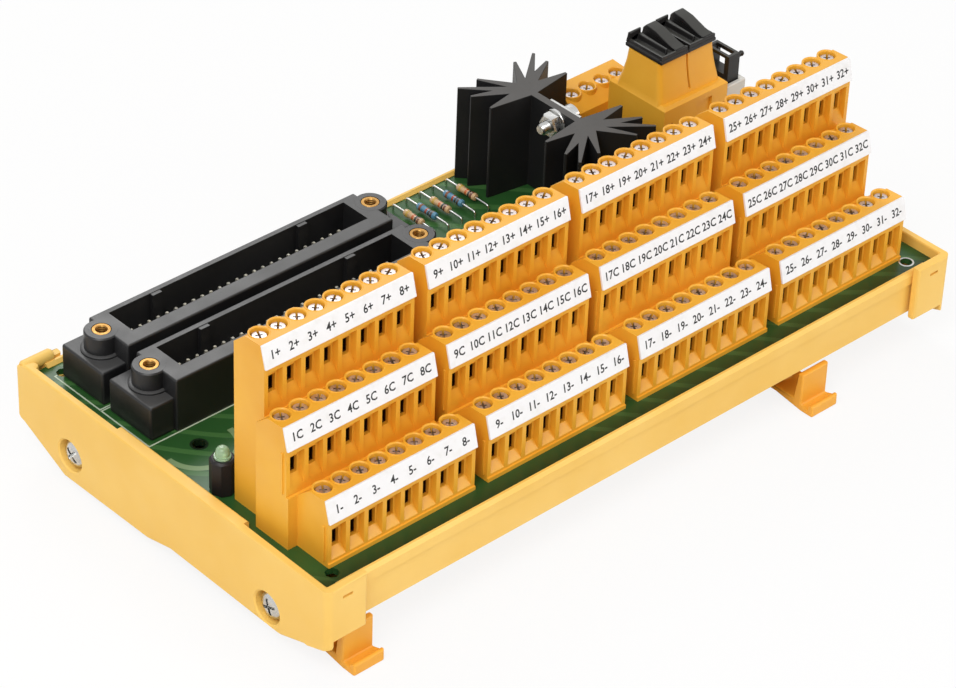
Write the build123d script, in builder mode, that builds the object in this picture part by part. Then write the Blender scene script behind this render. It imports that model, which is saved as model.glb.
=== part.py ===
from build123d import *

import math
import os

os.makedirs("parts", exist_ok=True)

# Terminal interface module for a 35 mm top-hat rail, in millimetres.
# X runs along the module, Y points to its back and Z up from the rail.
# The origin is the middle of the rail seat.

# Terminal rows
pitch = 5.08
ways = 8
block_count = 4
block_gap = 3.68
end_margin = 3.0
low_row_y = -19.0
middle_row_step = 10.5
high_row_step = 10.1
middle_row_shift = -2.54
low_tier_height = 17.0
tier_rise = 14.1
tier_front = 5.2
tier_back = 4.65
tier_foot = 0.4
back_drop = 3.4
back_slope_run = 3.75
pot_bore = 3.9
pot_sides = 6
boss_sides = 8
screw_clearance = 0.1
screw_sink = 1.2
entry_rib = 0.9
entry_height = 4.3
entry_drop = 8.8
entry_reach = 2.3
pot_depth = 5.0
strip_top_run = 4.5
strip_top_rise = 0.2
strip_lean = 1.4
strip_drop = 5.5
strip_thick = 0.6

# Tray and board
tray_end_gap = 0.44
tray_front_y = -31.0
tray_depth = 102.0
floor_z = 6.3
floor_thick = 2.0
rim_thick = 2.0
skin_set_back = 0.4
bead_height = 3.6
bead_drop = 0.8
board_z = 16.2
board_thick = 1.6
board_side_gap = 0.2
groove_depth = 1.2
groove_gap = 0.1
ledge_width = 4.0
ledge_thick = 2.2
rim_above_board = 1.0
channel_outer = 5.6
channel_bore = 2.9
channel_slot = 1.4
front_channel = (-13.6, 4.3)
rear_channel = (54.4, 4.7)
guide_half_gap = 20.0
guide_wall = 1.6
guide_drop = 3.0
guide_hook = 1.4
guide_hook_thick = 1.2

# End caps
cap_reach = 5.7
cap_wall = 1.7
cap_board_gap = 0.1
cap_top_z = 20.5
cap_back_top_z = 19.0
cap_rim_thick = 2.3
cap_rim_length = 11.0
cap_rim_gap = 0.1
cap_tab = (-4.0, 39.0)
cap_tab_reach = 1.5
cap_screw_head = 6.8
cap_screw_head_height = 2.2
cap_screw_recess = 8.0
cap_recess_depth = 2.6
cap_screw_shank = 2.8
cap_screw_length = 12.0
cap_boss = 10.4
cap_boss_step = 1.3
cap_corner = 3.0
round_sides = 12

# Rail feet
foot_width = 8.6
left_foot_inset = 4.4
right_foot_inset = 36.9
rail_half = 17.5
rail_gap = 0.2
rail_lip = 1.0
foot_gap = 0.2
hook_bottom_z = -3.9
hook_back_y = 30.0
hook_grip = 2.6
arm_front_y = -23.6
latch_web_y = -31.6
latch_web_thick = 1.8
latch_tip_y = -35.3
latch_grip = 2.2
latch_neck = 2.4
latch_head = 4.0
latch_slot_gap = 0.15

# Pin headers
header_pins_per_row = 25
header_pitch = 2.54
header_end_inset = 46.25
header_back_inset = 29.8
header_step_y = 16.9
header_half_span = 39.35
header_top_z = 31.7
header_foot_z = 26.6
header_foot_reach = 6.0
header_foot_front = 7.9
header_foot_back = 6.9
header_body_half = 38.85
header_body_front = 8.8
header_body_back = 5.4
header_boss = 8.0
header_ring = 9.6
header_ring_height = 0.6
cavity_half = 34.4
cavity_front = 4.8
cavity_back = 3.8
cavity_depth = 9.0
pin_side = 0.64
pin_tip_drop = 4.6
insert_outer = 4.4
insert_bore = 2.5
insert_length = 5.7
insert_gap = 0.02
key_half_gap = 21.3
key_size = (2.6, 1.0)

# Heat sink and regulator
sink_end_inset = 46.9
sink_back_inset = 23.4
sink_height = 25.4
sink_web = 2.0
sink_hub_y = 10.3
sink_hub_r = 3.0
fin_root = 1.7
fin_tip = 1.0
fin_tips = ((12.4, -0.8), (12.5, 6.0), (12.4, 10.7), (6.2, 10.7))
sink_screw_shift = -1.3
sink_screw_z = 39.8
sink_screw_d = 3.0

# Fuse block and link plug
fuse_end_inset = (26.5, 5.1)
fuse_back_inset = (39.4, 20.6)
fuse_base_top = 41.8
tower_end_inset = (25.3, 6.9)
tower_back_inset = (35.5, 24.5)
tower_top = 51.8
fuse_wall = 1.1
carrier_gap = 0.15
carrier_cap = (9.0, 12.2, 4.6)
fuse_d = 5.2
fuse_length = 20.0
fuse_foot_z = 25.0
link_end_inset = (4.2, -2.3)
link_back_inset = (38.5, 28.0)
link_top = 38.8
link_plug_top = 46.0

# Small parts on the board
led_end_inset = 2.1
led_y = 10.3
led_spacer_d = 6.0
led_spacer_height = 9.0
led_lens_d = 3.9
led_height = 11.7
power_ways = 4
power_end_inset = 22.65
power_back_inset = 11.8
resistor_count = 6
resistor_step = 4.26
resistor_sink_inset = 37.3
resistor_back_inset = (18.6, 3.0)
resistor_body = (1.9, 6.4)
resistor_lift = 1.5
lead_d = 0.6

# Sizes that follow from those above
block_length = (ways - 1) * pitch + 2 * end_margin
block_step = block_length + block_gap
tray_length = block_count * block_step + tray_end_gap
tray_end_x = tray_length / 2
tray_back_y = tray_front_y + tray_depth
left_foot_x = -tray_end_x + left_foot_inset
right_foot_x = tray_end_x - right_foot_inset
header_x = -tray_end_x + header_end_inset
header_front_y = tray_back_y - header_back_inset
sink_x = tray_end_x - sink_end_inset
sink_y = tray_back_y - sink_back_inset
sink_screw_y = sink_y + sink_screw_shift
fuse_x = [tray_end_x - inset for inset in fuse_end_inset]
fuse_y = [tray_back_y - inset for inset in fuse_back_inset]
tower_x = [tray_end_x - inset for inset in tower_end_inset]
tower_y = [tray_back_y - inset for inset in tower_back_inset]
link_x = [tray_end_x - inset for inset in link_end_inset]
link_y = [tray_back_y - inset for inset in link_back_inset]
led_x = -tray_end_x + led_end_inset
power_row_x = tray_end_x - power_end_inset
power_row_y = tray_back_y - power_back_inset
resistor_x = [sink_x - resistor_sink_inset + n * resistor_step for n in range(resistor_count)]
resistor_y = [tray_back_y - inset for inset in resistor_back_inset]
board_top = board_z + board_thick
board_length = tray_length + 2 * (cap_reach - cap_wall - cap_board_gap)
board_front_y = tray_front_y + rim_thick - groove_depth + board_side_gap
board_depth = 2 * (tray_front_y + tray_depth / 2 - board_front_y)
tray_mid_y = tray_front_y + tray_depth / 2
tray_top = board_top + rim_above_board
cap_outer_x = tray_end_x + cap_reach
cap_inner_x = cap_outer_x - cap_wall
low_top = board_top + low_tier_height
channels = (front_channel, rear_channel)


def finish(builder, name):
    """Labels a finished piece and writes its file."""
    builder.part.label = name
    export_step(builder.part, f"parts/{name}.step")


# Tray: one extruded profile that holds the board in two grooves
with BuildPart() as tray:
    with BuildSketch(Plane.YZ.offset(-tray_end_x)):
        skin_y = tray_front_y + skin_set_back
        inner_y = tray_front_y + rim_thick
        groove_y = inner_y - groove_depth
        groove_top = board_top + groove_gap
        ledge_z = board_z - ledge_thick
        bead_z = tray_top - bead_drop
        with BuildLine():
            Polyline(
                (tray_mid_y, floor_z + floor_thick),
                (tray_mid_y, floor_z),
                (skin_y + 1.0, floor_z),
                (skin_y, floor_z + 1.0),
                (skin_y, tray_top - bead_height),
                (tray_front_y, tray_top - bead_height + skin_set_back),
                (tray_front_y, bead_z),
                (tray_front_y + 0.35 * rim_thick, tray_top),
                (tray_front_y + 0.65 * rim_thick, tray_top),
                (inner_y, bead_z),
                (inner_y, groove_top),
                (groove_y, groove_top),
                (groove_y, board_z),
                (tray_front_y + ledge_width, board_z),
                (tray_front_y + ledge_width, ledge_z),
                (inner_y, ledge_z - 1.2),
                (inner_y, floor_z + floor_thick),
                (tray_mid_y, floor_z + floor_thick),
            )
        make_face()
        mirror(about=Plane.YZ.offset(tray_mid_y))
        for side in (-1, 1):
            with BuildLine():
                Polyline(
                    (side * guide_half_gap, floor_z),
                    (side * (guide_half_gap + guide_wall), floor_z),
                    (side * (guide_half_gap + guide_wall), floor_z - guide_drop),
                    (side * (guide_half_gap - guide_hook), floor_z - guide_drop),
                    (side * (guide_half_gap - guide_hook), floor_z - guide_drop + guide_hook_thick),
                    (side * guide_half_gap, floor_z - guide_drop + guide_hook_thick),
                    close=True,
                )
            make_face()
        with Locations(*channels):
            RegularPolygon(channel_outer / 2, 8)
        with Locations(*channels):
            RegularPolygon(channel_bore / 2, 8, mode=Mode.SUBTRACT)
            with Locations((0, -channel_outer / 4)):
                Rectangle(channel_slot, channel_outer / 2 + 0.2, mode=Mode.SUBTRACT)
    extrude(amount=tray_length)
finish(tray, "profile_tray")


# Circuit board with its fixing holes
board_hole = 3.0
board_hole_end_inset = 5.7
board_hole_side_inset = 4.1
index_hole = (-tray_end_x + 8.4, 26.1)
with BuildPart() as board:
    with BuildSketch(Plane.XY.offset(board_z)):
        with Locations((0, tray_mid_y)):
            Rectangle(board_length, board_depth)
            with GridLocations(
                board_length - 2 * board_hole_end_inset,
                board_depth - 2 * board_hole_side_inset,
                2,
                2,
            ):
                RegularPolygon(board_hole / 2, 8, major_radius=False, mode=Mode.SUBTRACT)
        with Locations(index_hole):
            RegularPolygon(board_hole / 2, 8, major_radius=False, mode=Mode.SUBTRACT)
    extrude(amount=board_thick)
finish(board, "circuit_board")


# End caps: a plate with rims that wrap the tray's corners, mirrored left and right
cap_front_y = tray_front_y - cap_rim_thick
cap_back_y = tray_back_y + cap_rim_thick
cap_outline = (
    (cap_front_y, cap_top_z),
    (cap_back_y - cap_corner, cap_top_z),
    (cap_back_y - 0.3 * cap_corner, cap_top_z - 0.3 * cap_corner),
    (cap_back_y, cap_top_z - cap_corner),
    (cap_back_y, 4.8 + cap_corner / 2),
    (cap_back_y - cap_corner / 2, 4.8),
    (56.7, -2.2),
    (27.0, -1.8),
    (rail_half + 1.5, 0),
    (-rail_half - 1.5, 0),
    (-26.2, 2.4),
    (cap_front_y, 4.9),
)
for name, side in (("left", -1), ("right", 1)):
    with BuildPart() as cap:
        with BuildSketch(Plane.YZ.offset(side * cap_inner_x)):
            with BuildLine():
                Polyline(*cap_outline, close=True)
            make_face()
        extrude(amount=side * cap_wall)
        with BuildSketch(Plane.YZ.offset(side * cap_inner_x)):
            with Locations(*channels):
                RegularPolygon(cap_boss / 2, 8)
            with BuildLine():
                Polyline(*cap_outline, close=True)
            make_face(mode=Mode.INTERSECT)
        extrude(amount=-side * (cap_reach - cap_wall - cap_boss_step))
        with BuildSketch(Plane.YZ.offset(side * cap_inner_x)):
            with Locations(*channels):
                RegularPolygon(channel_outer / 2, 8)
        extrude(amount=-side * (cap_reach - cap_wall))
        rim_x = side * (cap_outer_x - cap_rim_length / 2)
        rims = (
            (cap_front_y + cap_rim_thick / 2, cap_top_z),
            (cap_back_y - cap_rim_thick / 2, cap_back_top_z),
        )
        for rim_y, rim_top_z in rims:
            with BuildSketch(Plane.XY.offset(floor_z + cap_rim_gap)):
                with Locations((rim_x, rim_y)):
                    Rectangle(cap_rim_length, cap_rim_thick)
            extrude(amount=rim_top_z - floor_z - cap_rim_gap)
        with BuildSketch(Plane.XY.offset(board_top)):
            with Locations((side * (cap_inner_x - cap_tab_reach / 2), sum(cap_tab) / 2)):
                Rectangle(cap_tab_reach, cap_tab[1] - cap_tab[0])
        extrude(amount=cap_top_z - board_top)
        for y, z in channels:
            with BuildSketch(Plane.YZ.offset(side * cap_outer_x)):
                with Locations((y, z)):
                    RegularPolygon(cap_screw_recess / 2, round_sides)
            extrude(amount=-side * cap_recess_depth, mode=Mode.SUBTRACT)
            with BuildSketch(Plane.YZ.offset(side * cap_outer_x)):
                with Locations((y, z)):
                    RegularPolygon(cap_screw_shank / 2 + 0.2, 8)
            extrude(amount=-side * cap_reach, mode=Mode.SUBTRACT)
    finish(cap, f"end_cap_{name}")

# Four pan-head screws, driven through the caps into the tray's screw channels
with BuildPart() as cap_screws:
    for side in (-1, 1):
        seat_x = side * (cap_outer_x - cap_recess_depth)
        with BuildSketch(Plane.YZ.offset(seat_x)):
            with Locations(*channels):
                RegularPolygon(cap_screw_head / 2, round_sides)
        extrude(amount=side * cap_screw_head_height)
        with BuildSketch(Plane.YZ.offset(seat_x)):
            with Locations(*channels):
                RegularPolygon(cap_screw_shank / 2, 8)
        extrude(amount=-side * cap_screw_length)
finish(cap_screws, "end_cap_screws")


# Rail feet: a fixed half that hangs in the tray's guides and hooks behind the rail
foot_top = floor_z
seat_front = -(rail_half + rail_gap)
seat_back = rail_half + rail_gap
flange_y = guide_half_gap - foot_gap
waist_y = guide_half_gap - guide_hook - foot_gap
flange_z = floor_z - guide_drop + guide_hook_thick + foot_gap
under_guide_z = floor_z - guide_drop - foot_gap
arm_under_z = -0.9
hook_top_z = -(rail_lip + rail_gap)
slot_roof_z = 2.4
slot_shelf_z = 1.0
for name, foot_x in (("left", left_foot_x), ("right", right_foot_x)):
    with BuildPart() as foot:
        with BuildSketch(Plane.YZ.offset(foot_x - foot_width / 2)):
            with BuildLine():
                Polyline(
                    (-flange_y, foot_top),
                    (flange_y, foot_top),
                    (flange_y, flange_z),
                    (waist_y, flange_z),
                    (waist_y, under_guide_z),
                    (hook_back_y - 3.0, under_guide_z),
                    (hook_back_y, under_guide_z - 3.0),
                    (hook_back_y, hook_bottom_z),
                    (seat_back - 1.4, hook_bottom_z),
                    (seat_back - hook_grip, hook_bottom_z + 1.4),
                    (seat_back - hook_grip, hook_top_z),
                    (seat_back, hook_top_z),
                    (seat_back, 0),
                    (seat_front, 0),
                    (seat_front, arm_under_z),
                    (arm_front_y, arm_under_z),
                    (arm_front_y, under_guide_z),
                    (-waist_y, under_guide_z),
                    (-waist_y, flange_z),
                    (-flange_y, flange_z),
                    close=True,
                )
            make_face()
            with Locations((front_channel[0], floor_z)):
                Rectangle(channel_outer + 0.6, 2 * (floor_z - front_channel[1]) + channel_outer + 0.4, mode=Mode.SUBTRACT)
        extrude(amount=foot_width)
        with BuildSketch(Plane.XZ.offset(-arm_front_y)):
            with Locations((foot_x, (slot_shelf_z + arm_under_z) / 2)):
                Rectangle(latch_neck + 2 * latch_slot_gap, slot_shelf_z - arm_under_z)
            with Locations((foot_x, (slot_roof_z + slot_shelf_z) / 2)):
                Rectangle(latch_head + 2 * latch_slot_gap, slot_roof_z - slot_shelf_z)
        extrude(amount=arm_front_y + waist_y - 0.4, mode=Mode.SUBTRACT)
    finish(foot, f"rail_foot_{name}")

    # Its latch slides forward to let go of the rail: nose, sloping plate, web and pull lip
    latch_top_z = hook_top_z + 0.1
    with BuildPart() as latch:
        with BuildSketch(Plane.YZ.offset(foot_x - foot_width / 2)):
            web_back = latch_web_y + latch_web_thick
            with BuildLine():
                Polyline(
                    (-rail_half + latch_grip, latch_top_z),
                    (web_back + 0.6, latch_top_z),
                    (web_back, latch_top_z + 0.6),
                    (web_back, floor_z - foot_gap),
                    (latch_web_y, floor_z - foot_gap),
                    (latch_web_y, hook_bottom_z + 1.8),
                    (latch_tip_y + 1.6, hook_bottom_z + 1.8),
                    (latch_tip_y + 1.2, hook_bottom_z + 3.0),
                    (latch_tip_y, hook_bottom_z + 3.0),
                    (latch_tip_y, hook_bottom_z),
                    (latch_web_y, hook_bottom_z),
                    (arm_front_y, hook_bottom_z + 1.2),
                    (-rail_half, hook_bottom_z + 1.2),
                    (-rail_half + latch_grip, latch_top_z - 0.6),
                    close=True,
                )
            make_face()
        extrude(amount=foot_width)
        with BuildSketch(Plane.XZ.offset(-arm_front_y - 0.2)):
            with Locations((foot_x, (slot_shelf_z + 0.05 + latch_top_z) / 2)):
                Rectangle(latch_neck, slot_shelf_z + 0.05 - latch_top_z)
            with Locations((foot_x, (slot_roof_z - 0.1 + slot_shelf_z + 0.05) / 2)):
                Rectangle(latch_head, slot_roof_z - 0.1 - slot_shelf_z - 0.05)
        extrude(amount=arm_front_y + 0.2 + waist_y)
    finish(latch, f"rail_latch_{name}")


def tier_plane(y):
    """The upright plane across the module at this y."""
    return Plane.XZ.offset(-y)


def make_housing(name, centre_x, positions, row_y, top_z, facing, foot_front, foot_z, strip):
    """Builds one terminal tier.

    Args:
        name: The node's name.
        centre_x: Middle of the row.
        positions: Number of terminals.
        row_y: Line of the screws.
        top_z: Flat top.
        facing: 1 where the wires enter from the front, -1 from the back.
        foot_front: How far the lower part reaches in front of the screws.
        foot_z: Height up to which that lower part stands.
        strip: Thickness left out for the marker strip.
    """
    length = (positions - 1) * pitch + 2 * end_margin

    def at(run):
        return row_y + facing * run

    slope = math.hypot(strip_lean, strip_drop)
    inset_y = strip * strip_drop / slope
    inset_z = strip * strip_lean / slope
    with BuildPart() as housing:
        with BuildSketch(Plane.YZ.offset(centre_x - length / 2)):
            with BuildLine():
                Polyline(
                    (at(tier_back), board_top),
                    (at(tier_back), top_z - back_drop),
                    (at(tier_back - back_slope_run), top_z),
                    (at(-strip_top_run + inset_y), top_z + strip_top_rise - inset_z),
                    (at(-strip_top_run - strip_lean + inset_y), top_z + strip_top_rise - strip_drop - inset_z),
                    (at(-tier_front), top_z + strip_top_rise - strip_drop - inset_z - 0.4),
                    (at(-tier_front), foot_z),
                    (at(-foot_front), foot_z),
                    (at(-foot_front), board_top),
                    close=True,
                )
            make_face()
        extrude(amount=length)
        with BuildSketch(Plane.XY.offset(top_z - back_drop)):
            with Locations((centre_x, row_y)):
                with GridLocations(pitch, 0, positions, 1):
                    RegularPolygon(pitch / 2, boss_sides, major_radius=False, rotation=180 / boss_sides)
        extrude(amount=back_drop)
        with BuildSketch(tier_plane(at(-tier_front))):
            with Locations((centre_x, top_z - entry_drop - entry_height / 2)):
                with GridLocations(pitch, 0, positions, 1):
                    Rectangle(pitch - entry_rib, entry_height)
        extrude(amount=-facing * (tier_front + entry_reach), mode=Mode.SUBTRACT)
        with BuildSketch(Plane.XY.offset(top_z)):
            with Locations((centre_x, row_y)):
                with GridLocations(pitch, 0, positions, 1):
                    RegularPolygon(pot_bore / 2, pot_sides, major_radius=False)
        extrude(amount=-pot_depth, mode=Mode.SUBTRACT)
    finish(housing, name)


# Terminal blocks: three tiers stand one behind the other in each of the four blocks
tiers = {}
tiers["low"] = {"y": low_row_y, "top": low_top, "shift": 0.0, "front": tier_front + tier_foot, "foot": board_top + 1.0}
tiers["middle"] = {
    "y": low_row_y + middle_row_step,
    "top": low_top + tier_rise,
    "shift": middle_row_shift,
    "front": middle_row_step - tier_back,
    "foot": low_top - back_drop,
}
tiers["high"] = {
    "y": low_row_y + middle_row_step + high_row_step,
    "top": low_top + 2 * tier_rise,
    "shift": 0.0,
    "front": high_row_step - tier_back,
    "foot": low_top + tier_rise - back_drop,
}
block_centres = [(n - (block_count - 1) / 2) * block_step for n in range(block_count)]
for number, block_x in enumerate(block_centres, start=1):
    for tier, spec in tiers.items():
        make_housing(
            f"block_{number}_{tier}_tier",
            block_x + spec["shift"],
            ways,
            spec["y"],
            spec["top"],
            1,
            spec["front"],
            spec["foot"],
            strip_thick,
        )

# What is alike in a whole row shares one node: marker strips and screws
for tier, spec in tiers.items():
    slope = math.hypot(strip_lean, strip_drop)
    inset_y = strip_thick * strip_drop / slope
    inset_z = strip_thick * strip_lean / slope
    strip_top_y = spec["y"] - strip_top_run
    strip_top_z = spec["top"] + strip_top_rise
    with BuildPart() as strips:
        for block_x in block_centres:
            with BuildSketch(Plane.YZ.offset(block_x + spec["shift"] - block_length / 2)):
                with BuildLine():
                    Polyline(
                        (strip_top_y, strip_top_z),
                        (strip_top_y - strip_lean, strip_top_z - strip_drop),
                        (strip_top_y - strip_lean + inset_y, strip_top_z - strip_drop - inset_z),
                        (strip_top_y + inset_y, strip_top_z - inset_z),
                        close=True,
                    )
                make_face()
            extrude(amount=block_length)
    finish(strips, f"marker_strips_{tier}")


def make_screws(name, rows, row_y, top_z, positions):
    """The terminal screws of a row, one solid for each, six-sided as their pots to spare facets."""
    with BuildPart() as screws:
        with BuildSketch(Plane.XY.offset(top_z - pot_depth)):
            for centre_x in rows:
                with Locations((centre_x, row_y)):
                    with GridLocations(pitch, 0, positions, 1):
                        RegularPolygon(pot_bore / 2 - screw_clearance, pot_sides, major_radius=False)
        extrude(amount=pot_depth - screw_sink)
    finish(screws, name)


for tier, spec in tiers.items():
    rows = [block_x + spec["shift"] for block_x in block_centres]
    make_screws(f"terminal_screws_{tier}", rows, spec["y"], spec["top"], ways)

# Supply terminals along the back edge, wired from behind
make_housing(
    "supply_terminal_block",
    power_row_x,
    power_ways,
    power_row_y,
    low_top,
    -1,
    tier_front + tier_foot,
    board_top + 1.0,
    0.0,
)
make_screws("terminal_screws_supply", [power_row_x], power_row_y, low_top, power_ways)


# Pin headers: shroud, foot blocks and bosses in one moulding, with 50 pins in each
cavity_floor = header_top_z - cavity_depth
pin_row_y = (cavity_back - cavity_front) / 2
pin_run = (header_pins_per_row - 1) * header_pitch + pin_side
header_rows = (("front", header_front_y), ("rear", header_front_y + header_step_y))
boss_x = (header_x - header_half_span, header_x + header_half_span)
for name, boss_y in header_rows:
    with BuildPart() as header:
        foot_y = boss_y + (header_foot_back - header_foot_front) / 2
        with BuildSketch(Plane.XY.offset(board_top)):
            with Locations((header_x, foot_y)):
                Rectangle(
                    2 * (header_half_span + header_foot_reach),
                    header_foot_front + header_foot_back,
                )
        extrude(amount=header_foot_z - board_top)
        with BuildSketch(Plane.XY.offset(board_top)):
            with Locations((header_x, boss_y + (header_body_back - header_body_front) / 2)):
                Rectangle(2 * header_body_half, header_body_front + header_body_back)
        extrude(amount=header_top_z - board_top)
        with BuildSketch(Plane.XY.offset(header_foot_z)):
            with Locations((boss_x[0], boss_y), (boss_x[1], boss_y)):
                RegularPolygon(header_boss / 2, round_sides)
        extrude(amount=header_top_z - header_foot_z)
        with BuildSketch(Plane.XY.offset(header_foot_z)):
            with Locations((boss_x[0], boss_y), (boss_x[1], boss_y)):
                RegularPolygon(header_ring / 2, round_sides)
        extrude(amount=header_ring_height)
        with BuildSketch(Plane.XY.offset(header_top_z)):
            with Locations((header_x, boss_y + pin_row_y)):
                Rectangle(2 * cavity_half, cavity_front + cavity_back)
            with Locations(
                (header_x - key_half_gap, boss_y + cavity_back - key_size[1] / 2),
                (header_x + key_half_gap, boss_y + cavity_back - key_size[1] / 2),
            ):
                Rectangle(key_size[0], key_size[1], mode=Mode.SUBTRACT)
        extrude(amount=-cavity_depth, mode=Mode.SUBTRACT)
        with BuildSketch(Plane.XY.offset(cavity_floor)):
            with Locations((header_x, boss_y + pin_row_y)):
                with GridLocations(0, header_pitch, 1, 2):
                    Rectangle(pin_run, pin_side)
        extrude(amount=board_top - cavity_floor, mode=Mode.SUBTRACT)
        with BuildSketch(Plane.XY.offset(header_top_z)):
            with Locations((boss_x[0], boss_y), (boss_x[1], boss_y)):
                RegularPolygon(insert_outer / 2 + insert_gap, 6)
        extrude(amount=-insert_length, mode=Mode.SUBTRACT)
    finish(header, f"header_{name}_housing")

    with BuildPart() as pins:
        with BuildSketch(Plane.XY.offset(board_top)):
            with Locations((header_x, boss_y + pin_row_y)):
                with GridLocations(header_pitch, header_pitch, header_pins_per_row, 2):
                    Rectangle(pin_side, pin_side)
        extrude(amount=header_top_z - pin_tip_drop - board_top)
    finish(pins, f"header_{name}_pins")

with BuildPart() as inserts:
    with BuildSketch(Plane.XY.offset(header_top_z)):
        for name, boss_y in header_rows:
            with Locations((boss_x[0], boss_y), (boss_x[1], boss_y)):
                RegularPolygon(insert_outer / 2, 6)
                Circle(insert_bore / 2, mode=Mode.SUBTRACT)
    extrude(amount=-insert_length)
finish(inserts, "header_screw_inserts")


# Heat sink: a web between two hubs with eight tapered fins each
with BuildPart() as sink:
    with BuildSketch(Plane.XY.offset(board_top)):
        with Locations((sink_x, sink_y)):
            Rectangle(sink_web, 2 * sink_hub_y)
        for end in (-1, 1):
            hub_y = sink_y + end * sink_hub_y
            with Locations((sink_x, hub_y)):
                RegularPolygon(sink_hub_r, 12)
            for side in (-1, 1):
                for tip_x, tip_y in fin_tips:
                    length = math.hypot(tip_x, tip_y)
                    across_x = -end * tip_y / length
                    across_y = side * tip_x / length
                    end_x = sink_x + side * tip_x
                    end_y = hub_y + end * tip_y
                    with BuildLine():
                        Polyline(
                            (sink_x + across_x * fin_root / 2, hub_y + across_y * fin_root / 2),
                            (end_x + across_x * fin_tip / 2, end_y + across_y * fin_tip / 2),
                            (end_x - across_x * fin_tip / 2, end_y - across_y * fin_tip / 2),
                            (sink_x - across_x * fin_root / 2, hub_y - across_y * fin_root / 2),
                            close=True,
                        )
                    make_face()
    extrude(amount=sink_height)
    with BuildSketch(Plane.YZ.offset(sink_x - sink_web)):
        with Locations((sink_screw_y, sink_screw_z)):
            RegularPolygon(sink_screw_d / 2 + 0.1, 8)
    extrude(amount=2 * sink_web, mode=Mode.SUBTRACT)
finish(sink, "heat_sink")

# Regulator on the web's far side: metal tab with its leads, and the moulded body
tab_x = sink_x + sink_web / 2
tab_thick = 1.3
tab_width = 10.2
tab_height = 15.6
tab_top = sink_screw_z + 2.8
body_height = 9.2
lead_pitch = 2.54
with BuildPart() as regulator_tab:
    with BuildSketch(Plane.YZ.offset(tab_x)):
        with Locations((sink_screw_y, tab_top - tab_height / 2)):
            Rectangle(tab_width, tab_height)
        with Locations((sink_screw_y, sink_screw_z)):
            RegularPolygon(sink_screw_d / 2 + 0.1, 8, mode=Mode.SUBTRACT)
    extrude(amount=tab_thick)
finish(regulator_tab, "regulator_tab")

with BuildPart() as regulator_body:
    with BuildSketch(Plane.YZ.offset(tab_x + tab_thick)):
        with Locations((sink_screw_y, tab_top - tab_height + body_height / 2)):
            Rectangle(tab_width, body_height)
    extrude(amount=3.2, taper=4)
finish(regulator_body, "regulator_body")

with BuildPart() as regulator_leads:
    with BuildSketch(Plane.XY.offset(board_top)):
        with Locations((tab_x + tab_thick - 0.3, sink_screw_y)):
            with GridLocations(0, lead_pitch, 1, 3):
                Rectangle(0.6, 0.8)
    extrude(amount=tab_top - tab_height - board_top)
finish(regulator_leads, "regulator_leads")

# Its fixing: screw from the tab side, washer and nut on the near side of the web
washer_d = 7.0
washer_thick = 0.6
nut_flats = 5.5
sink_screw_head = 5.6
nut_thick = 2.4
with BuildPart() as sink_washer:
    with BuildSketch(Plane.YZ.offset(sink_x - sink_web / 2)):
        with Locations((sink_screw_y, sink_screw_z)):
            RegularPolygon(washer_d / 2, round_sides)
            RegularPolygon(sink_screw_d / 2 + 0.1, 8, mode=Mode.SUBTRACT)
    extrude(amount=-washer_thick)
finish(sink_washer, "regulator_washer")

with BuildPart() as sink_nut:
    with BuildSketch(Plane.YZ.offset(sink_x - sink_web / 2 - washer_thick)):
        with Locations((sink_screw_y, sink_screw_z)):
            RegularPolygon(nut_flats / 2, 6, major_radius=False)
            RegularPolygon(sink_screw_d / 2 + 0.02, 8, mode=Mode.SUBTRACT)
    extrude(amount=-nut_thick)
finish(sink_nut, "regulator_nut")

with BuildPart() as sink_screw:
    with BuildSketch(Plane.YZ.offset(tab_x + tab_thick)):
        with Locations((sink_screw_y, sink_screw_z)):
            RegularPolygon(sink_screw_head / 2, round_sides)
    extrude(amount=2.0)
    with BuildSketch(Plane.YZ.offset(tab_x + tab_thick)):
        with Locations((sink_screw_y, sink_screw_z)):
            RegularPolygon(sink_screw_d / 2, 8)
    extrude(amount=-(tab_thick + sink_web + washer_thick + nut_thick + 2.4))
finish(sink_screw, "regulator_screw")


# Fuse block: a base with two towers, each open from above for a fuse carrier
tower_pitch = (tower_x[1] - tower_x[0]) / 2
tower_mid_y = sum(tower_y) / 2
tower_centres = (tower_x[0] + tower_pitch / 2, tower_x[1] - tower_pitch / 2)
well_x = tower_pitch - 2 * fuse_wall
well_y = tower_y[1] - tower_y[0] - 2 * fuse_wall
well_floor = fuse_foot_z - 1.0
tower_gap = 0.6
with BuildPart() as fuse_base:
    with BuildSketch(Plane.XY.offset(board_top)):
        with Locations((sum(fuse_x) / 2, sum(fuse_y) / 2)):
            Rectangle(fuse_x[1] - fuse_x[0], fuse_y[1] - fuse_y[0])
    extrude(amount=fuse_base_top - board_top)
    chamfer(fuse_base.edges().group_by(Axis.Z)[-1], 0.8)
    with BuildSketch(Plane.XY.offset(fuse_base_top)):
        with Locations((sum(tower_x) / 2, tower_mid_y)):
            Rectangle(tower_x[1] - tower_x[0] + 0.8, tower_y[1] - tower_y[0] + 1.6)
    with BuildSketch(Plane.XY.offset(fuse_base_top + 2.4)):
        with Locations((sum(tower_x) / 2, tower_mid_y)):
            Rectangle(tower_x[1] - tower_x[0], tower_y[1] - tower_y[0])
    loft()
    with BuildSketch(Plane.XY.offset(fuse_base_top + 2.4)):
        for centre in tower_centres:
            with Locations((centre, tower_mid_y)):
                Rectangle(tower_pitch - tower_gap / 2, tower_y[1] - tower_y[0])
    extrude(amount=tower_top - fuse_base_top - 2.4)
    with BuildSketch(Plane.XY.offset(tower_top)):
        for centre in tower_centres:
            with Locations((centre, tower_mid_y)):
                Rectangle(well_x, well_y)
    extrude(amount=well_floor - tower_top, mode=Mode.SUBTRACT)
finish(fuse_base, "fuse_base")

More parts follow.
